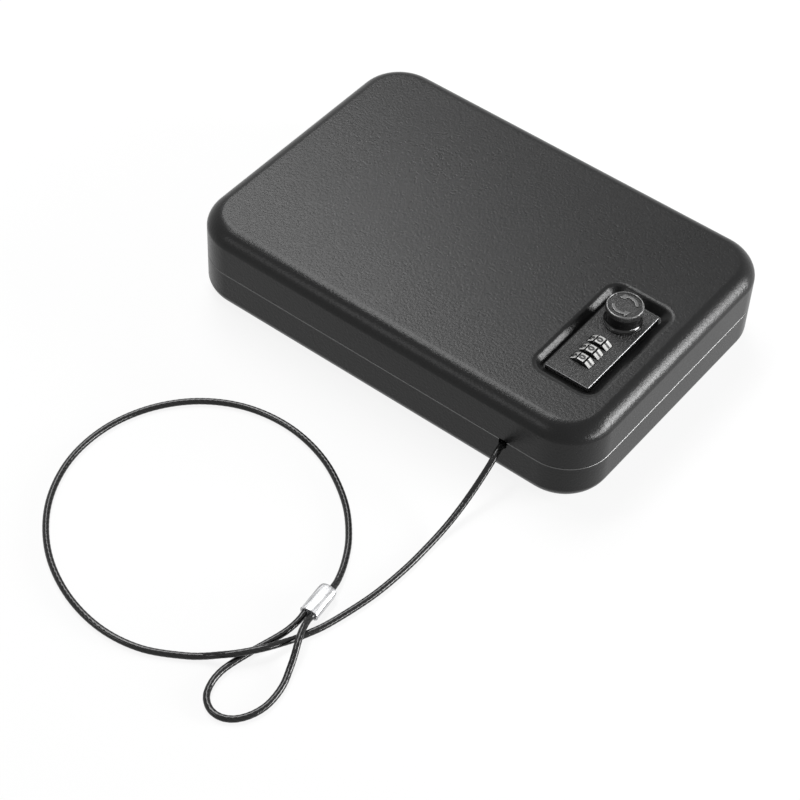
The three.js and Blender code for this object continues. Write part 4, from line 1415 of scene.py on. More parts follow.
@dataclass
class FacePlate:
    """The lock's face plate with its bare bright edge, and the ring under the knob."""

    lock: LockPlaces = LockPlaces()
    half_x: float = 12.45
    half_y: float = 29.9
    corner: float = 0.5
    under: float = 44.9
    top: float = 47.1
    chamfer: float = 0.14
    rim_slope: Flat = (0.6, 0.8)
    dial_bore: float = 7.6
    dial_half_slot: float = 2.8
    relief: Flat = (4.0, 3.9)
    boss: tuple[float, ...] = (2.8, 43.4, 45.4, 32)
    screw_hole: tuple[float, ...] = (1.6, 42, 46, 24)
    spindle_cut: Flat = (40.0, 50.0)
    ring_section: tuple[Flat, ...] = (
        (9.42, 47.4), (9.92, 47.4), (9.92, 47.65), (9.88, 47.85), (9.78, 47.98), (9.66, 48.02), (9.54, 47.98),
        (9.45, 47.85),
    )

    def build(self) -> None:
        """Builds the plate and the ring."""
        lock = self.lock
        plan = RoundedPlan(2 * self.half_x, 2 * self.half_y, self.corner, (lock.x, lock.y), 3)
        section = [(0.0, self.under), (0.0, self.top - self.chamfer), (self.chamfer, self.top)]
        plate = plan.loft("face_plate", section)
        half, (depth, reach) = self.dial_half_slot, self.relief
        slots = [self.drum(self.dial_bore, place - half, place + half) for place in lock.dials_y]
        relief = self.drum(depth, lock.dials_y[-1] - reach, lock.dials_y[0] + reach)
        plate.joined(*lock.bosses(*self.boss))
        plate.cut(*slots, relief, lock.spindle(lock.spindle_bore, *self.spindle_cut), *lock.bosses(*self.screw_hole))
        plate.painted(Finish.CRACKLE, Finish.BARE_EDGE, self.on_rim)
        plate.finished(Finish.CRACKLE, Body.LID, ["lock_plate"], 25)
        ring = Shape.turned("face_ring", self.ring_section, 96).moved(*lock.knob)
        ring.finished(Finish.KNOB, Body.LID, ["knob_ring"])

    def on_rim(self, face: bpy.types.MeshPolygon) -> bool:
        """Whether a face is part of the chamfer round the plate.

        Args:
            face: The face.

        Returns:
            True on the chamfer.
        """
        point, border = face.center, (self.half_x - self.chamfer, self.half_y - self.chamfer)
        outside = abs(point.x - self.lock.x) > border[0] or abs(point.y - self.lock.y) > border[1]
        low, high = self.rim_slope
        return outside and low < face.normal.z < high and point.z > self.top - self.chamfer

    def drum(self, radius: float, start: float, end: float) -> Shape:
        """A cylinder on the dials' axis."""
        drum = Shape.rod("drum", radius, start, end, 72).rotated("X", -RIGHT_ANGLE)
        return drum.moved(self.lock.x, 0.0, self.lock.dial_height)


@dataclass
class Knob:
    """The turning knob: a glossy skirt, a knurled head and a textured face with turning arrows."""

    lock: LockPlaces = LockPlaces()
    teeth: int = 64
    per_tooth: int = 4
    tooth_depth: float = 0.55
    tooth_sharpness: float = 1.4
    head_foot: float = 54.6
    sections: tuple[tuple[float, ...], ...] = (
        (7.9, 0, 47.4), (9.08, 0, 47.45), (9.24, 0, 47.6), (9.24, 0, 47.76), (9.02, 0, 48.02), (8.8, 0, 48.3),
        (8.6, 0, 48.58), (8.45, 0, 48.87), (8.34, 0, 49.22), (8.28, 0, 49.7), (8.26, 0, 50.3), (8.26, 0, 54.3),
        (8.3, 0, 54.6), (8.9, 0, 54.72), (9.2, 0.6, 54.85), (9.4, 1, 55.15), (9.4, 1, 56.7), (9.37, 1, 57.05),
        (9.27, 0.7, 57.4), (9.1, 0.1818, 57.7), (8.88, 0, 57.9), (8.62, 0, 58.0), (8.46, 0, 57.96), (8.35, 0, 57.84),
        (8.3, 0, 57.66), (8.3, 0, 57.25),
    )
    socket: Flat = (40.0, 54.8)
    face_low: float = 57.3
    face_high: float = 57.66
    face_sunk: float = 0.12
    face_border: tuple[float, ...] = (7.6, 7.7, 8.02, 8.1)
    arrow_turns: Flat = (28.0, 208.0)
    arrow_shaft: Flat = (4.9, 6.4)
    arrow_span: float = 92.0
    arrow_head: tuple[Flat, ...] = ((7.6, 92.0), (5.65, 124.0), (3.7, 92.0))
    arrow_height: Flat = (57.4, 57.98)

    def build(self) -> None:
        """Builds the knob from sections of radius, share of the knurl's depth and height, and its face."""
        count = self.teeth * self.per_tooth
        rings = [
            polar_ring(self.toothed(radius, share * self.tooth_depth), height, count)
            for radius, share, height in self.sections
        ]
        knob = Shape.lofted("turn_knob", rings)
        knob.cut(Shape.rod("socket", self.lock.spindle_bore, *self.socket))
        # The head above its foot takes the lighter knurl black, as painted light on the teeth.
        knob.painted(Finish.KNOB, Finish.KNURL, lambda face: face.center.z > self.head_foot)
        knob.moved(*self.lock.knob).finished(Finish.KNOB, Body.KNOB, ["knob_body"], 50)
        self.face_disc()

    def toothed(self, radius: float, depth: float) -> Callable[[float], float]:
        """The radius at an angle of a section with knurling of that depth."""
        sharpness = self.tooth_sharpness
        return lambda angle: radius - depth * (0.5 - 0.5 * math.cos(self.teeth * angle)) ** sharpness

    def face_disc(self) -> None:
        """The sunken face with a raised border and two turning arrows."""
        low, high = self.face_low, self.face_high
        sunk = high - self.face_sunk
        foot, inner, outer, rim = self.face_border
        border = [(rim, low), (rim, high - 0.1), (outer, high), (inner, high), (foot, sunk)]
        disc = Shape.turned("turn_knob_face", [(0, low), *border, (0, sunk)], 96)
        disc.joined(*[self.arrow().rotated("Z", math.radians(turn)) for turn in self.arrow_turns])
        # The arrows' tops take the lighter knurl black, as painted light on them.
        disc.painted(Finish.CRACKLE, Finish.KNURL, lambda face: face.center.z > high + 0.02)
        disc.moved(*self.lock.knob).finished(Finish.CRACKLE, Body.KNOB, ["knob_cap"], 30)

    def arrow(self) -> Shape:
        """A bent arrow with a blunt head, raised from the face.

        Returns:
            The shape.
        """
        inner, outer = self.arrow_shaft
        head = [polar(radius, angle) for radius, angle in self.arrow_head]
        outline = [*arc(outer, 0, self.arrow_span, 16), *head, *arc(inner, self.arrow_span, 0, 16)]
        return Shape.extruded("arrow", outline, *self.arrow_height).bevelled(0.16)


@dataclass
class Dials:
    """The three number dials, each with ten flat pads and raised digits."""

    lock: LockPlaces = LockPlaces()
    radius: float = 7.2
    flat_share: float = 0.982
    half_width: float = 2.5
    edge_wear: tuple[Flat, ...] = ((0.35, 1.0), (0.14, 0.99), (0.0, 0.965))
    bore: float = 4.75
    pads: int = 10
    pad_half: float = 14.2
    corner_wear: float = 0.06
    groove: float = 0.9
    groove_half: float = 2.1
    groove_edge: float = 0.28
    print_size: float = 4.9
    print_weight: float = 0.27
    print_height: float = 0.05
    print_lift: float = 0.03
    print_stretch: Flat = (1.1, 0.86)

    @property
    def flat(self) -> float:
        """The distance of the pads from the axis."""
        return self.radius * self.flat_share

    def build(self) -> None:
        """Builds the wheels and gives the hubs and their axle a finish."""
        for number, place in enumerate(self.lock.dials_y, 1):
            self.wheel(number, place)
            plain(f"dial_hub_{number}", Finish.BRASS)
        plain("dial_axle", Finish.SPRING)

    def outline(self) -> list[Flat]:
        """The wheel seen along its axis: flat pads with a groove between each two.

        Returns:
            Its points round the axis.
        """
        pitch = 360 / self.pads
        half, middle = self.pad_half, pitch / 2
        places = [(share * half, self.flat / math.cos(math.radians(share * half))) for share in (-0.5, 0.0, 0.5)]
        worn = self.flat / math.cos(math.radians(half)) - self.corner_wear
        places = [(-half, worn), *places, (half, worn)]
        for offset in (-self.groove_half, 0.0, self.groove_half):
            places.append((middle + offset, self.radius - self.groove + 0.05 * abs(offset)))
        return [polar(reach, pitch * digit + offset) for digit in range(self.pads) for offset, reach in places]

    def wheel(self, number: int, place: float) -> None:
        """One wheel with its digits, 0 on top and 1 towards +X.

        Args:
            number: The dial's number.
            place: Its middle along Y.
        """
        outline, half = self.outline(), self.half_width
        sides = [(half - inward, scale) for inward, scale in self.edge_wear]
        levels = [(-level, scale) for level, scale in reversed(sides)] + sides
        rings = [[(x * scale, z * scale, level) for x, z in outline] for level, scale in levels]
        bore = [(self.bore * x / math.hypot(x, z), self.bore * z / math.hypot(x, z)) for x, z in outline]
        rings += [[(x, z, level) for x, z in bore] for level in (half, -half)]
        wheel = Shape.lofted(f"number_wheel_{number}", rings, closed=True)
        wheel.rotated("X", RIGHT_ANGLE).rotated("Y", -RIGHT_ANGLE)
        digits = self.digits()
        # The grooves and the wheel's sides take the ink's black as painted shade; the digits take it as print.
        wheel.painted(Finish.DIAL, Finish.INK, self.in_groove)
        wheel.edit(lambda work: self.add_digits(work, digits))
        bpy.data.meshes.remove(digits)
        wheel.moved(self.lock.x, place, self.lock.dial_height)
        wheel.finished(Finish.DIAL, f"dial_{number}", [f"dial_wheel_{number}"], 30, False)

    def in_groove(self, face: bpy.types.MeshPolygon) -> bool:
        """Whether a face lies in a groove between two pads, or on the wheel's side, where the ink's black is painted
        shade.
        """
        reach = math.hypot(face.center.x, face.center.z)
        return reach < self.radius - self.groove_edge or abs(face.normal.y) > 0.4

    @staticmethod
    def add_digits(work: bmesh.types.BMesh, digits: bpy.types.Mesh) -> None:
        """Adds the digits' faces to a wheel, in its second material.

        Args:
            work: The wheel's open mesh.
            digits: The digits.
        """
        before = len(work.faces)
        work.from_mesh(digits)
        work.faces.ensure_lookup_table()
        for face in work.faces[before:]:
            face.material_index = 1

    def digits(self) -> bpy.types.Mesh:
        """The ten raised digits of a wheel.

        Returns:
            One mesh of them all.
        """
        together = bmesh.new()
        stretch = Matrix.Diagonal((*self.print_stretch, 1.0, 1.0))
        for digit in range(self.pads):
            text = bpy.data.curves.new("digit", "FONT")
            text.body = str(digit)
            text.size = self.print_size
            text.align_x = "CENTER"
            text.align_y = "CENTER"
            text.extrude = self.print_height
            text.offset = self.print_weight
            text.resolution_u = 3
            carrier = placed("digit", text)
            mesh = evaluated(carrier)
            bpy.data.objects.remove(carrier)
            bpy.data.curves.remove(text)
            upright = Matrix.Rotation(RIGHT_ANGLE, 4, "Z")
            lifted = Matrix.Translation((0.0, 0.0, self.flat + self.print_lift))
            turned = Matrix.Rotation(math.radians(360 / self.pads * digit), 4, "Y")
            mesh.transform(turned @ lifted @ upright @ stretch)
            together.from_mesh(mesh)
            bpy.data.meshes.remove(mesh)
        result = bpy.data.meshes.new("digits")
        together.to_mesh(result)
        together.free()
        return result


@dataclass
class Latch:
    """What shows inside the open lid: the case's cover and its screws, the cam, and the keeper."""

    lock: LockPlaces = LockPlaces()
    screw_places: tuple[Flat, ...] = ((-9.3, -26.75), (9.3, -26.75), (-9.3, 26.75), (9.3, 26.75))
    cover_low: Point = (-11.9, -29.35, 29.2)
    cover_high: Point = (11.9, 29.35, 30.7)
    cam_radius: float = 6.5
    cam_tip: float = 2.5
    cam_reach: float = 24.2
    cam_levels: Flat = (26.5, 28.5)
    cam_square: float = 2.4
    nut_width: float = 7.0
    nut_levels: Flat = (22.9, 24.9)
    thread: float = 2.3
    spindle_cut: Flat = (20.0, 40.0)
    keeper_half: float = 8.0
    keeper_rounding: Flat = (2.2, 0.7)
    lever_place: Flat = (-7.0, -10.5)
    lever_slot: tuple[Point, Point] = ((-8.0, -11.8, 27), (-6.0, -6.2, 33))
    lever_tab: tuple[Point, Point] = ((-1.5, -1.8, 26.9), (1.5, 1.8, 28.9))
    lever_stem: tuple[Point, Point] = ((-0.7, -1.0, 28.0), (0.7, 1.0, 31.5))
    lever_flange: tuple[Point, Point] = ((-2.3, -2.6, 31.0), (2.3, 2.6, 31.8))
    sink: tuple[Flat, ...] = ((0, 27.2), (2.3, 27.2), (2.3, 29.2), (1.3, 30.3), (1.3, 33), (0, 33))
    screw_section: tuple[Flat, ...] = ((0, 29.2), (1.9, 29.2), (2.0, 29.28), (1.0, 30.3), (1.0, 35.5), (0, 35.5))
    recess: tuple[Point, Point] = ((1.2, 0.28, 29.0), (0.4, 0.2, 30.2))
    washer_rim: tuple[Flat, ...] = ((4.05, 25.2), (4.2, 25.35), (4.2, 26.05), (4.05, 26.2))

    def build(self) -> None:
        """Builds the pieces and gives the hidden ones a finish."""
        self.cover()
        for number, place in enumerate(self.screw_places, 1):
            self.screw(number, place)
        self.cam()
        self.nut()
        self.keeper()
        self.lever()
        for name, finish in (
            ("lock_case", Finish.CAST), ("detent_spring", Finish.SPRING), ("fence_bar", Finish.BRASS),
            ("knob_spindle", Finish.CAST), ("plate_screw_1", Finish.ZINC), ("plate_screw_2", Finish.ZINC),
        ):
            plain(name, finish)

    def cover(self) -> None:
        """The stamped cover with its countersunk holes and the slot for the lever."""
        lock = self.lock
        cover = Shape.block("case_cover", self.cover_low, self.cover_high).bevelled(0.3, 3)
        cover.moved(lock.x, lock.y)
        sinks = [Shape.turned("sink", self.sink, 32).moved(lock.x + x, lock.y + y) for x, y in self.screw_places]
        slot = Shape.block("slot", *self.lever_slot).moved(lock.x, lock.y)
        cover.cut(lock.spindle(lock.spindle_bore, *self.spindle_cut), slot, *sinks)
        cover.finished(Finish.ZINC, Body.LID, ["lock_back_cover"], 30)

    def screw(self, number: int, place: Flat) -> None:
        """A countersunk screw with a cross recess, its head facing down.

        Args:
            number: The screw's number, by which it is turned further.
            place: Its place from the lock's centre.
        """
        screw = Shape.turned(f"cover_screw_{number}_cross", self.screw_section, 32)
        ends = [[(-x, -y, level), (x, -y, level), (x, y, level), (-x, y, level)] for x, y, level in self.recess]
        screw.cut(*[Shape.lofted("bar", ends).rotated("Z", math.radians(turn + 17 * number)) for turn in (0, 90)])
        screw.moved(self.lock.x + place[0], self.lock.y + place[1])
        screw.finished(Finish.ZINC, Body.LID, [f"cover_screw_{number}"], 30)

    def cam(self) -> None:
        """The stamped latch cam and its washer."""
        tip, reach, square = self.cam_tip, self.cam_reach, self.cam_square
        corners = [*arc(tip, 0, 90, 6, (tip, reach)), *arc(tip, 90, 180, 6, (-tip, reach))]
        outline = [*arc(self.cam_radius, 142, 398, 40), *corners]
        cam = Shape.extruded("catch_cam", outline, *self.cam_levels).bevelled(0.28, 3)
        low, high = self.cam_levels
        cam.cut(Shape.block("square", (-square, -square, low - PAST), (square, square, high + PAST)))
        cam.moved(*self.lock.knob).finished(Finish.ZINC, Body.KNOB, ["latch_cam"], 30)
        rim = self.washer_rim
        washer = Shape.turned("catch_washer", [(self.thread, rim[0][1]), *rim, (self.thread, rim[-1][1])], 48)
        washer.moved(*self.lock.knob).finished(Finish.ZINC, Body.KNOB, ["cam_washer"], 30)

    def nut(self) -> None:
        """The hexagonal nut with turned chamfers."""
        (low, high), corner = self.nut_levels, self.nut_width / math.sqrt(3)
        nut = Shape.rod("catch_nut", corner, low, high, 6)
        cone = [(0, low), (3.45, low), (corner + 0.1, low + 0.45), (corner + 0.1, high), (0, high)]
        nut.kept_inside(Shape.turned("cone", cone, 48))
        nut.cut(Shape.rod("bore", self.thread, low - PAST, high + PAST, 32))
        nut.moved(*self.lock.knob).finished(Finish.ZINC, Body.KNOB, ["cam_nut"], 30)

    def keeper(self) -> None:
        """The bent keeper, with a rounded fold."""
        bend, fold = self.keeper_rounding
        low, back, front, under, over, reach = 10.0, 117.1, 115.6, 28.9, 30.4, 106.6
        outer = arc(bend, 0, 90, 8, (back - bend, over - bend))
        inner = arc(fold, 90, 0, 4, (front - fold, under - fold))
        outline = [(front, low), (back, low), *outer, (reach, over), (reach, under), *inner]
        keeper = Shape.extruded("catch_keeper", outline, -self.keeper_half, self.keeper_half)
        keeper.rotated("X", RIGHT_ANGLE).bevelled(0.22, 2, 50)
        keeper.moved(0.0, self.lock.knob_y).finished(Finish.ZINC, Body.TRAY, ["latch_keeper"], 30)

    def lever(self) -> None:
        """The small lever for setting a new combination."""
        lever = Shape.block("reset_tab", *self.lever_tab).bevelled(0.35, 3)
        x, y = self.lever_place
        lever.joined(Shape.block("stem", *self.lever_stem), Shape.block("flange", *self.lever_flange))
        lever.moved(self.lock.x + x, self.lock.y + y)
        lever.finished(Finish.BRASS, Body.RESET, ["reset_lever"], 30)


# The cable


@dataclass
class Cable:
    """The security cable: the run to the sleeve, the eye and its pressed sleeve."""

    radius: float = 1.65
    lift: float = 0.1
    strands: int = 6
    lay: float = 17.0
    sides: int = 30
    step: float = 0.6
    ridge: float = 0.06
    run: tuple[tuple[float, ...], ...] = (
        (76.4, -80.2, 20.9), (76.6, -85, 20.7), (77.2, -89.5, 19.7), (77.7, -93.1, 18.1), (78, -100.6, 14.1),
        (78.1, -108.1, 10.3), (78.1, -116, 6.9), (78.1, -124.3, 4.3), (78, -132.9, 2.5), (78, -142.4),
        (78, -156.8), (76.3, -178), (72.8, -195.7), (69.4, -208.2), (66.5, -215.3), (64.3, -220.6, 1.9),
        (62, -227.6, 3.9), (59.6, -233.6, 5.4), (55.8, -239.4, 5.7), (51, -245.4, 5.7), (45.5, -249.9, 4.5),
        (39.5, -253.6, 2.3), (33, -258.2), (14.8, -267.9), (-6.3, -271.1), (-30.9, -266.6), (-55, -253.8),
        (-74.3, -233.1), (-84.9, -207.7), (-85.6, -182.1), (-77.9, -159.4), (-63.5, -141.2), (-43.4, -129.3),
        (-19, -125.4), (7.1, -130.6), (31.5, -144.7), (46.5, -160.3), (54.3, -173.1), (58.7, -183.6, 2.6),
        (60.1, -189.3, 3.4),
    )
    eye: tuple[tuple[float, ...], ...] = (
        (59.1, -207.5, 3.4), (59.5, -212.5, 2.9), (58.8, -218.9, 2.1), (57.5, -224.4), (53.7, -238.2),
        (50.9, -250.2), (50.4, -255.7), (51.1, -261.7), (53.5, -267.8), (56.9, -271.3), (61.2, -273.2),
        (66, -273.1), (70.1, -271.1), (73.2, -267.9), (75.9, -262.9), (77.5, -256.5), (77.4, -249.6),
        (76, -242.4), (73.6, -236, 2.2), (71.5, -230.5, 3.6), (69.3, -225.5, 5.1), (67, -220.6, 5.9),
        (65, -215.4, 5.7), (63.7, -211.3, 4.9), (63.2, -209.2, 4.3), (63, -207.4, 4.1),
    )
    sleeve_top: Flat = (59.1, -189.8)
    sleeve_foot: Flat = (61.0, -207.0)
    sleeve_length: float = 17.3
    sleeve_width: float = 9.0
    sleeve_height: float = 6.6
    sleeve_press: Flat = (0.82, 0.72)
    sleeve_sides: int = 64
    outlet: Point = (76.5, -83.0, 20.9)
    stop_place: Point = (76.4, -79.8, 20.9)
    stop_section: tuple[Flat, ...] = (
        (0, 0), (3.4, 0), (4.1, 0.5), (4.2, 1.2), (4.2, 2.3), (3.7, 2.8), (3.7, 3.5), (4.2, 4.0), (4.2, 5.0),
        (3.7, 5.5), (3.7, 6.2), (4.2, 6.7), (4.2, 7.6), (4.0, 8.2), (3.4, 8.6), (0, 8.6),
    )

    def build(self) -> None:
        """Builds the sleeve, both stretches of cable and the stop in the tray."""
        sleeve = self.sleeve()
        self.stretch("cable_run_cord", self.run, "cable_run", sleeve, self.outlet)
        self.stretch("cable_eye_cord", self.eye, "cable_eye", sleeve, self.eye[0])
        self.stop()

    def centreline(self, route: Sequence[Sequence[float]]) -> list[Vector]:
        """Evenly spaced points on the smooth curve through a route.

        Args:
            route: The points, whose height is left out where the cable lies on the floor.

        Returns:
            The points.
        """
        rest = self.radius + self.lift
        points = [Vector((point[0], point[1], point[2] if len(point) > 2 else rest)) for point in route]
        before = points[0] * 2 - points[1]
        after = points[-1] * 2 - points[-2]
        full = [before, *points, after]
        dense = [points[0]]
        for index in range(1, len(full) - 2):
            dense += self.span(full[index - 1:index + 3], 24)
        total = self.way(dense)
        count = max(8, round(total / self.step))
        line, walked, index = [dense[0]], 0.0, 0
        for number in range(1, count):
            goal = total * number / count
            while walked + (dense[index + 1] - dense[index]).length < goal:
                walked += (dense[index + 1] - dense[index]).length
                index += 1
            share = (goal - walked) / (dense[index + 1] - dense[index]).length
            line.append(dense[index].lerp(dense[index + 1], share))
        return [*line, dense[-1]]

    @staticmethod
    def way(line: Sequence[Vector]) -> float:
        """The length of a line of points."""
        return sum((b - a).length for a, b in zip(line, line[1:]))

    @staticmethod
    def span(four: Sequence[Vector], steps: int) -> list[Vector]:
        """Points on a centripetal curve between the middle two of four points.

        Args:
            four: The four points.
            steps: How many points are made.

        Returns:
            The points, the last of which is the third of the four.
        """
        knots = [0.0]
        for a, b in zip(four, four[1:]):
            knots.append(knots[-1] + math.sqrt((b - a).length))
        t0, t1, t2, t3 = knots
        points = []
        for step in range(1, steps + 1):
            t = t1 + (t2 - t1) * step / steps
            a1 = four[0].lerp(four[1], (t - t0) / (t1 - t0))
            a2 = four[1].lerp(four[2], (t - t1) / (t2 - t1))
            a3 = four[2].lerp(four[3], (t - t2) / (t3 - t2))
            b1 = a1.lerp(a2, (t - t0) / (t2 - t0))
            b2 = a2.lerp(a3, (t - t1) / (t3 - t1))
            points.append(b1.lerp(b2, (t - t1) / (t2 - t1)))
        return points

    def stretch(
        self,
        name: str,
        route: Sequence[Sequence[float]],
        node: str,
        sleeve: bpy.types.Object,
        start: Sequence[float],
    ) -> None:
        """One stretch of cable, whose jacket shows the lay of the strands.

        Args:
            name: The piece's name.
            route: The points that it follows.
            node: The CAD node that it replaces.
            sleeve: The sleeve at its end; not used.
            start: Where it leaves the box or the sleeve; not used.
        """
        line = self.centreline(route)
        side = Vector((1, 0, 0))
        rings, strand, walked = [], [], 0.0
        for index, centre in enumerate(line):
            onward = line[min(index + 1, len(line) - 1)] - line[max(index - 1, 0)]
            tangent = onward.normalized()
            side = (side - tangent * side.dot(tangent)).normalized()
            across = tangent.cross(side)
            if index:
                walked += (centre - line[index - 1]).length
            twist = 2 * math.pi * walked / self.lay
            rings.append([])
            for corner in range(self.sides):
                angle = 2 * math.pi * corner / self.sides
                wave = math.cos(self.strands * (angle - twist))
                reach = self.radius + self.ridge * (wave - 1) / 2
                rings[-1].append(centre + side * (reach * math.cos(angle)) + across * (reach * math.sin(angle)))
                strand.append(0.5 + 0.5 * wave)
        cord = Shape.lofted(name, rings)
        values = cord.piece.data.attributes.new("strand", "FLOAT", "POINT")
        values.data.foreach_set("value", strand)
        piece = cord.finished(Finish.CABLE, Body.TRAY, [node], 60, False)
        tuple(value * MILLIMETRE for value in start)
        2 * self.radius * MILLIMETRE
        [tuple(point * MILLIMETRE) for point in line]

    def sleeve(self) -> bpy.types.Object:
        """The pressed oval sleeve, with a round shoulder above and an open mouth below.

        Returns:
            The finished piece.
        """
        half = self.sleeve_length / 2
        sections = (
            (half, 0.66, 0.7), (half - 0.25, 0.8, 0.82), (half - 0.8, 0.9, 0.91), (half - 1.8, 0.96, 0.97),
            (half - 3.2, 0.985, 0.99), (0.0, 0.99, 1.0), (1.4 - half, 0.985, 0.99), (0.75 - half, 0.99, 0.98),
            (0.4 - half, 1.03, 1.0), (0.12 - half, 1.03, 1.0), (-half, 0.99, 0.96), (-half, 0.86, 0.8),
            (0.5 - half, 0.8, 0.72), (2.2 - half, 0.76, 0.66),
        )
        rings = [self.oval(along, wide, tall) for along, wide, tall in sections]
        body = Shape.lofted("pressed_sleeve", rings).rotated("X", -RIGHT_ANGLE)
        top, foot = self.sleeve_top, self.sleeve_foot
        body.rotated("Z", math.atan2(foot[0] - top[0], top[1] - foot[1]))
        body.moved((top[0] + foot[0]) / 2, (top[1] + foot[1]) / 2, self.sleeve_height / 2 + self.lift)
        return body.finished(Finish.SLEEVE, Body.TRAY, ["cable_ferrule"], 45, False)

    def oval(self, along: float, wide: float, tall: float) -> list[Point]:
        """One section of the sleeve, flattened by the press.

        Args:
            along: Its place along the sleeve.
            wide: Its width as a share of the sleeve's.
            tall: Its height as a share of the sleeve's.

        Returns:
            Its points.
        """
        half_x, half_y = self.sleeve_width / 2 * wide, self.sleeve_height / 2 * tall
        press_x, press_y = self.sleeve_press
        circle = [polar(1.0, index * 360 / self.sleeve_sides) for index in range(self.sleeve_sides)]
        return [
            (half_x * math.copysign(abs(x) ** press_x, x), half_y * math.copysign(abs(y) ** press_y, y), along)
            for x, y in circle
        ]

    def stop(self) -> None:
        """The swaged stop on the cable's inner end, with two crimped waists."""
        stop = Shape.turned("swaged_stop", self.stop_section, 48).rotated("X", -RIGHT_ANGLE)
        stop.moved(*self.stop_place).finished(Finish.CAST, Body.TRAY, ["cable_stop"], 40)


# The studio


@dataclass(frozen=True)
class Lamp:
    """A rectangular lamp."""

    name: str
    place: Point
    size: Flat
    radiance: float
    target: Point

    @classmethod
    def ceiling(cls, name: str, x: Flat, y: Flat, radiance: float, height: float = 1.6) -> "Lamp":
        """A panel that hangs level over an area.

        Args:
            name: The lamp's name.
            x: Its ends along X in metres.
            y: Its ends along Y.
            radiance: How bright it is.
            height: Its height over the floor.

        Returns:
            The lamp.
        """
        middle = ((x[0] + x[1]) / 2, (y[0] + y[1]) / 2)
        return cls(name, (*middle, height), (x[1] - x[0], y[1] - y[0]), radiance, (*middle, 0.0))

    @classmethod
    def around(cls, name: str, azimuth: float, elevation: float, size: Flat, radiance: float) -> "Lamp":
        """A panel that faces the safe.

        Args:
            name: The lamp's name.
            azimuth: Its angle in degrees from +X.
            elevation: Its angle in degrees above the floor.
            size: Its width and height in metres.
            radiance: How bright it is.

        Returns:
            The lamp.
        """
        distance, centre = 1.3, 0.03
        turn, rise = math.radians(azimuth), math.radians(elevation)
        level = distance * math.cos(rise)
        place = (level * math.cos(turn), level * math.sin(turn), centre + distance * math.sin(rise))
        return cls(name, place, size, radiance, (0.0, 0.0, centre))

    def build(self) -> None:
        """Adds the lamp."""
        light = bpy.data.lights.new(self.name, "AREA")
        light.shape = "RECTANGLE"
        light.size, light.size_y = self.size
        light.energy = self.radiance * math.pi * self.size[0] * self.size[1]
        holder = placed(self.name, light)
        holder.location = self.place
        holder.rotation_euler = (Vector(self.target) - Vector(self.place)).to_track_quat("-Z", "Y").to_euler()


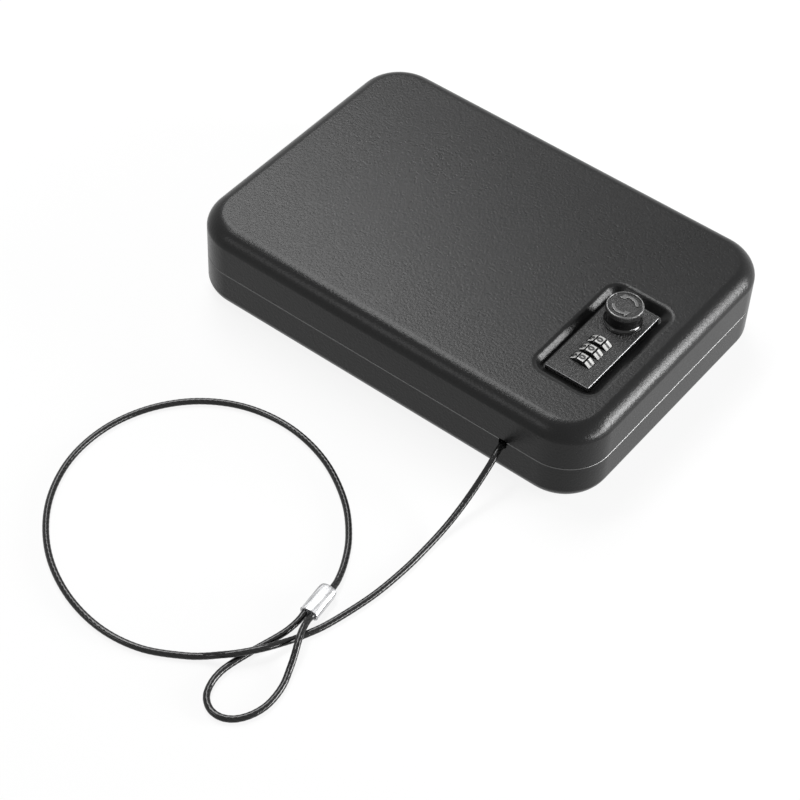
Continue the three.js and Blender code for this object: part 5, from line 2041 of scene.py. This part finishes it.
@dataclass
class Studio:
    """The camera of the photograph, the white ground and the lamps."""

    azimuth: float = 35.6825
    elevation: float = 47.7598
    roll: float = 3.0403
    camera_place: Point = (0.453216, -0.691842, 0.834901)
    lens: float = 103.75
    sensor: float = 36.0
    ambient: float = 0.06
    floor_half: float = 6.0
    floor_glow: float = 0.88
    lamps: tuple[Lamp, ...] = (
        Lamp.ceiling("back_left_panel", (-1.6, -0.85), (1.0, 1.3), 11.3),
        Lamp.ceiling("left_panel", (-1.6, -1.05), (0.6, 1.0), 7.0),
        Lamp.ceiling("middle_panel", (-1.05, -0.3), (0.6, 1.0), 8.0),
        Lamp.ceiling("front_middle_panel", (-1.05, -0.25), (0.1, 0.6), 10.1),
        Lamp.ceiling("front_panel", (-0.85, -0.55), (-0.35, 0.1), 18.7),
        Lamp.around("right_low_panel", 14.0, 4.0, (1.2, 0.16), 36.0),
        Lamp.around("right_middle_panel", 27.0, 12.0, (0.64, 0.2), 31.0),
        Lamp.around("right_high_panel", 36.0, 21.0, (0.36, 0.24), 17.0),
        Lamp("front_fill", (-0.5, -1.1, 0.75), (0.6, 0.3), 3.6, (0.0, 0.0, 0.0)),
    )

    def build(self) -> None:
        """Builds the studio."""
        self.camera()
        self.ground()
        self.world()
        for lamp in self.lamps:
            lamp.build()
        bpy.context.scene.view_settings.view_transform = "Standard"

    def camera(self) -> None:
        """The camera that was fitted to the photograph."""
        turn, rise, roll = (math.radians(angle) for angle in (self.azimuth, self.elevation, self.roll))
        right = Vector((math.cos(turn), math.sin(turn), 0.0))
        back = Vector((math.sin(turn) * math.cos(rise), -math.cos(turn) * math.cos(rise), math.sin(rise)))
        upward = back.cross(right)
        across = right * math.cos(roll) + upward * math.sin(roll)
        along = upward * math.cos(roll) - right * math.sin(roll)
        lens = bpy.data.cameras.new("photo_camera")
        lens.lens = self.lens
        lens.sensor_width = self.sensor
        lens.clip_start = 0.01
        holder = placed("photo_camera", lens)
        turned = Matrix((across, along, back)).transposed().to_4x4()
        holder.matrix_world = Matrix.Translation(self.camera_place) @ turned
        bpy.context.scene.camera = holder

    @staticmethod
    def seen(recipe: Recipe) -> Signal:
        """1 for the rays that look at the ground or the backdrop, straight or through a reflection."""
        path = recipe.node("ShaderNodeLightPath")
        return (path["Is Camera Ray"] + path["Is Glossy Ray"] + path["Is Transmission Ray"]).clamped()

    def ground(self) -> None:
        """The white floor, which keeps a soft shadow of the safe."""
        half = self.floor_half
        corners = [(-half, -half, 0), (half, -half, 0), (half, half, 0), (-half, half, 0)]
        floor = Shape("floor", corners, [(0, 1, 2, 3)])
        recipe = Recipe.material("white_floor")
        paper = recipe.noise(3.0, 2.0)
        lit = recipe.node(
            "ShaderNodeBsdfPrincipled", None,
            {"Base Color": paper.mixed(grey(0.89), grey(0.91)), "Roughness": 0.9, "Specular IOR Level": 0.1},
        )
        white = recipe.node("ShaderNodeEmission", None, {"Color": grey(1.0), "Strength": 1.0})
        share = self.seen(recipe) * self.floor_glow
        mix = recipe.node("ShaderNodeMixShader", None, {0: share, 1: lit["BSDF"], 2: white["Emission"]})
        recipe.node("ShaderNodeOutputMaterial", None, {"Surface": mix["Shader"]})
        floor.piece.data.materials.append(recipe.owner)

    def world(self) -> None:
        """A white backdrop to the eye and a dimmer one as light."""
        world = bpy.data.worlds.new("studio")
        bpy.context.scene.world = world
        recipe = Recipe(world)
        strength = self.seen(recipe) * (1.0 - self.ambient) + self.ambient
        shade = recipe.node("ShaderNodeBackground", None, {"Color": grey(1.0), "Strength": strength})
        recipe.node("ShaderNodeOutputWorld", None, {"Surface": shade["Background"]})


def main() -> None:
    """Builds the studio, the cable and the safe."""
    logging.basicConfig(level=logging.INFO, format="%(name)s %(message)s")
    for assembly in (Studio(), Cable(), Shells(), Hinge(), Liners(), FacePlate(), Knob(), Dials(), Latch()):
        assembly.build()
        log.info("%s done", type(assembly).__name__)
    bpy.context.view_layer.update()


if __name__ == "__main__":
    main()
